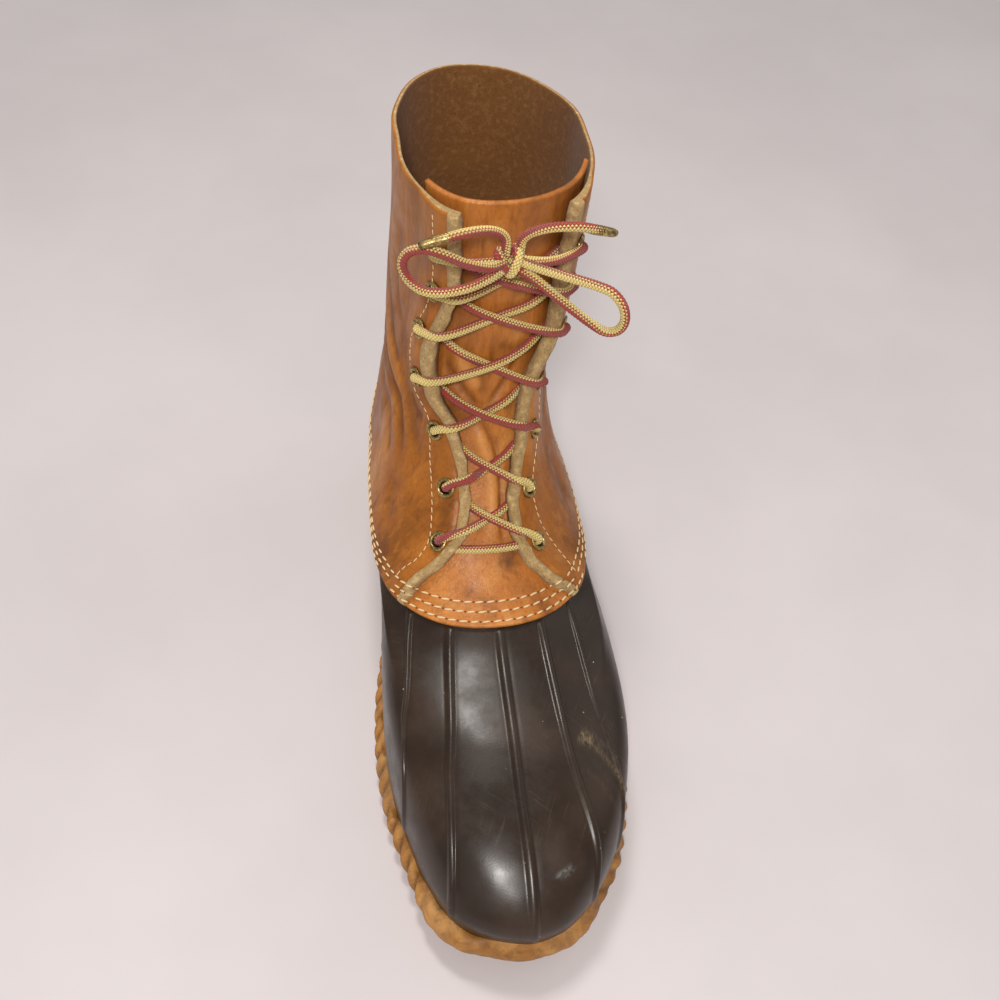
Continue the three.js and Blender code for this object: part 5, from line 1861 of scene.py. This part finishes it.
@dataclass(frozen=True)
class RubberBottom:
    """The moulded rubber shell with its ribs, in millimetres and places round the last."""

    rib_height: float = 0.95
    rib_rows: tuple[float, ...] = (0.0, 1.0, 2.7, 4.4)
    ribs: tuple[tuple[float, ...], ...] = (
        (-0.183, -0.183, -0.177, -0.118), (-0.099, -0.098, -0.089, -0.053), (0.006, 0.004, 0.002, 0.007),
        (0.098, 0.096, 0.071, 0.064), (0.160, 0.152, 0.138, 0.122))
    rib_steps: tuple[float, ...] = (-3.4, -2.8, -2.3, -1.8, -1.3, -0.7, 0.0, 0.7, 1.3, 1.75, 2.1, 2.5, 3.2)
    rib_rise: tuple[float, ...] = (
        0.0, -0.03, 0.08, 0.34, 0.68, 0.93, 1.0, 0.93, 0.62, 0.24, -0.06, -0.07, 0.0)
    between: int = 13
    round_heel: int = 120
    scuffs: tuple[Fold, ...] = (
        Fold(((0.090, 2.93), (0.100, 2.84), (0.112, 2.74)), 2.6, 1.0),
        Fold(((0.096, 2.89), (0.111, 2.71), (0.126, 2.48), (0.141, 2.19), (0.144, 1.80)), 1.1, 1.0),
        Fold(((0.106, 2.93), (0.118, 2.76), (0.133, 2.52), (0.146, 2.25)), 0.8, 0.8),
        Fold(((0.100, 2.70), (0.111, 2.48), (0.124, 2.25), (0.136, 2.00)), 0.6, 0.9),
        Fold(((0.077, 2.66), (0.090, 2.59), (0.102, 2.43), (0.117, 2.18), (0.132, 1.83)), 0.7, 0.9),
        Fold(((-0.30, 1.5), (-0.26, 1.4), (-0.22, 1.5)), 2.4, 0.5),
        Fold(((0.36, 1.6), (0.40, 1.5), (0.45, 1.55)), 2.4, 0.5))
    chalk: tuple[Fold, ...] = (
        Fold(((0.023, 1.874), (0.033, 1.91), (0.045, 1.945)), 0.8, 1.0),
        Fold(((0.031, 1.815), (0.039, 1.85), (0.049, 1.895)), 0.7, 0.8))

    def build(self, looks: Finishes) -> None:
        """Builds the shell."""
        ups = np.array([*np.arange(0, 1.0, 0.09), *np.arange(1.0, FIT.rubber_top, 0.042), FIT.rubber_top])
        heights = []
        grid = []
        for up in ups:
            centres = [float(eased(self.rib_rows, rib, up)) for rib in self.ribs]
            at = [LAST.step(c, up, np.array(self.rib_steps)) for c in centres]
            row, rise = [], []
            for k, places in enumerate(at):
                row += list(places)
                rise += list(self.rib_rise)
                if k + 1 < len(at):
                    row += list(np.linspace(places[-1], at[k + 1][0], self.between + 2)[1:-1])
                    rise += [0.0] * self.between
            row += list(np.linspace(row[-1], 1 + at[0][0], self.round_heel + 1)[1:])
            rise += [0.0] * self.round_heel
            grid.append(row)
            heights.append(rise)
        rounds = np.array(grid)
        rows, columns = rounds.shape
        flat_round, flat_up = rounds.ravel(), np.repeat(ups, columns)
        base, normal = LAST.point(flat_round, flat_up), LAST.normal(flat_round, flat_up)
        fade = smooth(0.15, 0.9, flat_up) * (1 - smooth(3.9, 4.05, flat_up))
        settle = np.where(flat_up < FIT.edge, 0.0, FIT.leather_out(flat_up) - FIT.leather - 0.5)
        settle = np.minimum(settle, 0.0) * smooth(3.9, 4.05, flat_up)
        wave = 0.22 * wander(base, 60.0, 2) * smooth(0.6, 1.4, flat_up) * (1 - smooth(3.6, 4.0, flat_up))
        out = settle + wave + self.rib_height * np.array(heights).ravel() * fade
        outside = (base + normal * out[:, None]).reshape(rows, columns, 3)
        inside = (base + normal * (settle - FIT.rubber)[:, None]).reshape(rows, columns, 3)
        bm = bmesh.new()
        layers = new_layers(bm, ("scuff", "chalk"))
        outer, inner = lay_wall(bm, outside, inside, closed=True)
        fill_layers(outer, layers, {"scuff": fold_relief(self.scuffs, base)[1],
                                    "chalk": fold_relief(self.chalk, base)[1]})
        for k in (0, -1):
            bmesh.ops.bridge_loops(bm, edges=rim_edges(bm, set(outer[k]) | set(inner[k])))
        finish_piece("rubber_shell", bm, [looks.rubber], ["rubber_bottom"])


def foot_grid(along: Array, across: Array, inset: float, least: float) -> tuple[Array, Array]:
    """A level grid over the foot.

    Args:
        along: Shares of the length from the toe tip, one for each row.
        across: Shares of the width from the inner side, one for each column.
        inset: How far inside the outline it ends, in millimetres.
        least: Half its width at the tips, at least.

    Returns:
        X and Y of its points.
    """
    outer, inner = LAST.half_widths(along)
    left, right = np.minimum(-inner + inset, -least), np.maximum(outer - inset, least)
    x = left[:, None] + (right - left)[:, None] * across
    return x, np.repeat(LAST.behind_tip(0.0) + along[:, None] * LAST.length, len(across), 1)


@dataclass(frozen=True)
class Sole:
    """The sole with its rope edge and its tread, in millimetres."""

    lobe: float = 0.95
    lobe_pitch: float = 9.2
    slant: float = 0.55
    toe_width: float = 2.0
    creep: float = 3.2
    columns: int = 620
    roll_inset: float = 4.2
    roll_drop: float = 3.3
    roll_radius: float = 4.0
    foot_drop: float = 7.4
    tread_pitch: float = 17.0
    tread_depth: float = 2.0
    tread_inset: float = 6.0
    wave_height: float = 4.2
    wave_length: float = 27.0

    def even_rounds(self, count: int) -> tuple[Array, Array]:
        """Places with even steps round the outline.

        Args:
            count: How many.

        Returns:
            The places and their distance from the toe tip.
        """
        fine = np.linspace(0, 1, 4801)
        run = run_along(LAST.outline_point(fine, 0.0))
        wanted = np.linspace(0, run[-1], count + 1)
        return np.interp(wanted, run, fine), wanted

    def rope_ring(self, bm: bmesh.types.BMesh, layer: Layers) -> list[bmesh.types.BMVert]:
        """The sole's side with its rolled edge.

        Args:
            bm: Mesh to add to.
            layer: The layer for painted shade.

        Returns:
            The topmost loop of vertices.
        """
        rounds, run = self.even_rounds(self.columns)
        total = run[-1]
        count = round(total / self.lobe_pitch)
        feather = LAST.feather_z(LAST.outline_point(rounds, 2.0)[:, 1])
        tread = LAST.tread_z(LAST.outline_point(rounds, 2.0)[:, 1])
        rim = LAST.skin(rounds, 0.0, 0.0)
        calm = 0.22 + 0.78 * smooth(0.09, 0.17, np.minimum(rounds, 1 - rounds))
        uneven = (1 + 0.4 * wander(rim, 30.0, 9)) * calm
        lumps = 0.8 * wander(rim, 24.0, 14) * (1 - calm)
        creep = self.creep * wander(rim, 12.0, 6) + 0.5 + 1.5 * (1 - calm)
        inner_toe = smooth(0.03, 0.07, 1 - rounds) * (1 - smooth(0.11, 0.16, 1 - rounds))
        loops, painted_shade = [], []

        def add(inset: Union[Array, float], z: Array, painted_shade_share: Union[Array, float]) -> None:
            """Adds one loop."""
            loops.append(np.column_stack([LAST.outline_point(rounds, inset), z]))
            painted_shade.append(np.broadcast_to(painted_shade_share, rounds.shape))

        # The last number of each loop is its painted shade: darker underneath, at the foot's crease, between
        # the rope's lobes and where the sole tucks under the rubber wall.
        add(8.0, tread, 0.2)
        add(3.6, tread, 0.2)
        add(2.9, tread + 0.25, 0.1)
        foot = feather - self.foot_drop
        for share in (0.10, 0.4, 0.7, 0.92):
            add(2.6 - 0.2 * share, tread + (foot - tread) * share, 0.25)
        add(2.6, foot + 0.1, 0.9)
        for angle in np.radians(np.linspace(-78, 112, 15)):
            phase = 2 * math.pi * (run / total * count) + self.slant * 4 * angle
            fall = math.cos(min(abs(angle - 0.2), 1.5)) ** 0.5
            bulge = ((np.abs(np.cos(phase / 2)) * 2 - 1.3) * self.lobe * uneven + lumps) * fall
            reach = self.roll_radius + bulge + self.toe_width * inner_toe * fall
            climb = creep * float(smooth(0.9, 1.7, angle))
            z = feather - self.roll_drop + reach * math.sin(angle) * 1.12 + climb
            add(self.roll_inset - reach * math.cos(angle), z, np.clip(-bulge * 1.1, 0, 1))
        add(5.6, feather - 0.2, 0.9)
        add(6.0, feather - 0.9, 0.9)
        table = lay_grid(bm, np.array(loops), closed=True)
        fill_layers(table, layer, {"painted_shade": np.array(painted_shade)})
        return table[-1]

    def tread(self, bm: bmesh.types.BMesh, layer: Layers) -> None:
        """The tread between the rope edges, cut by two crossing families of wavy grooves.

        Args:
            bm: Mesh to add to.
            layer: The layer for painted shade.
        """
        x, y = foot_grid(np.linspace(0.022, 0.985, 230), np.linspace(0, 1, 56), self.tread_inset, 1.0)
        cut = np.zeros_like(x)
        for sign in (1.0, -1.0):
            wave = self.wave_height * np.sin(2 * math.pi * x / self.wave_length)
            phase = (y + sign * wave) % self.tread_pitch
            cut = np.maximum(cut, 1 - smooth(1.0, 1.7, np.abs(phase - self.tread_pitch / 2)))
        rest = LAST.arch_share(y)
        cut *= 1 - smooth(0.02, 0.12, rest) * (1 - smooth(0.88, 0.98, rest))
        z = LAST.tread_z(y.ravel()).reshape(x.shape) + 0.12 + self.tread_depth * cut
        points = np.stack([x, y, z], 2)[:, ::-1]
        table = lay_grid(bm, points, closed=False)
        # Painted shade in the tread's grooves.
        fill_layers(table, layer, {"painted_shade": cut[:, ::-1] * 0.8})

    def build(self, looks: Finishes) -> None:
        """Builds the sole."""
        bm = bmesh.new()
        layer = new_layers(bm, ("painted_shade",))
        top = self.rope_ring(bm, layer)
        bmesh.ops.holes_fill(bm, edges=rim_edges(bm, set(top)), sides=0)
        self.tread(bm, layer)
        finish_piece("rope_sole", bm, [looks.sole], ["outsole"])


@dataclass(frozen=True)
class Insole:
    """The insole inside the shell, in millimetres."""

    inset: float = 7.9
    thickness: float = 4.0
    dish: float = 1.0

    def build(self, looks: Finishes) -> None:
        """Builds the insole with a shallow print of the foot."""
        along = np.linspace(0.03, 0.972, 120)
        across = np.linspace(0, 1, 34)
        x, y = foot_grid(along, across, self.inset, 2.0)
        y = np.clip(y, LAST.behind_tip(0.0) + self.inset, LAST.heel_back - self.inset)
        floor = LAST.feather_z(y.ravel()).reshape(x.shape)
        middle = np.sin(math.pi * across)[None, :] * np.sin(math.pi * along)[:, None] ** 0.5
        print_ = 0.25 * wander(np.stack([x.ravel(), y.ravel(), 0 * x.ravel()], 1), 40.0, 4).reshape(x.shape)
        top = np.stack([x, y, floor + self.thickness - (self.dish + print_) * middle], 2)
        bm = bmesh.new()
        lay_wall(bm, top, np.stack([x, y, floor + 0.05], 2))
        bmesh.ops.bridge_loops(bm, edges=open_edges(bm))
        finish_piece("fleece_insole", bm, [looks.lining], ["insole"])


def main() -> None:
    """Builds the studio and the boot."""
    logging.basicConfig(level=logging.INFO, format="%(message)s")
    looks = Finishes()
    Studio().build()
    bow, upper = Bow(), Upper()
    for part in (bow, Laces(bow), upper, Stitching(upper), Eyelets(), RubberBottom(), Sole(), Insole()):
        part.build(looks)


if __name__ == "__main__":
    main()
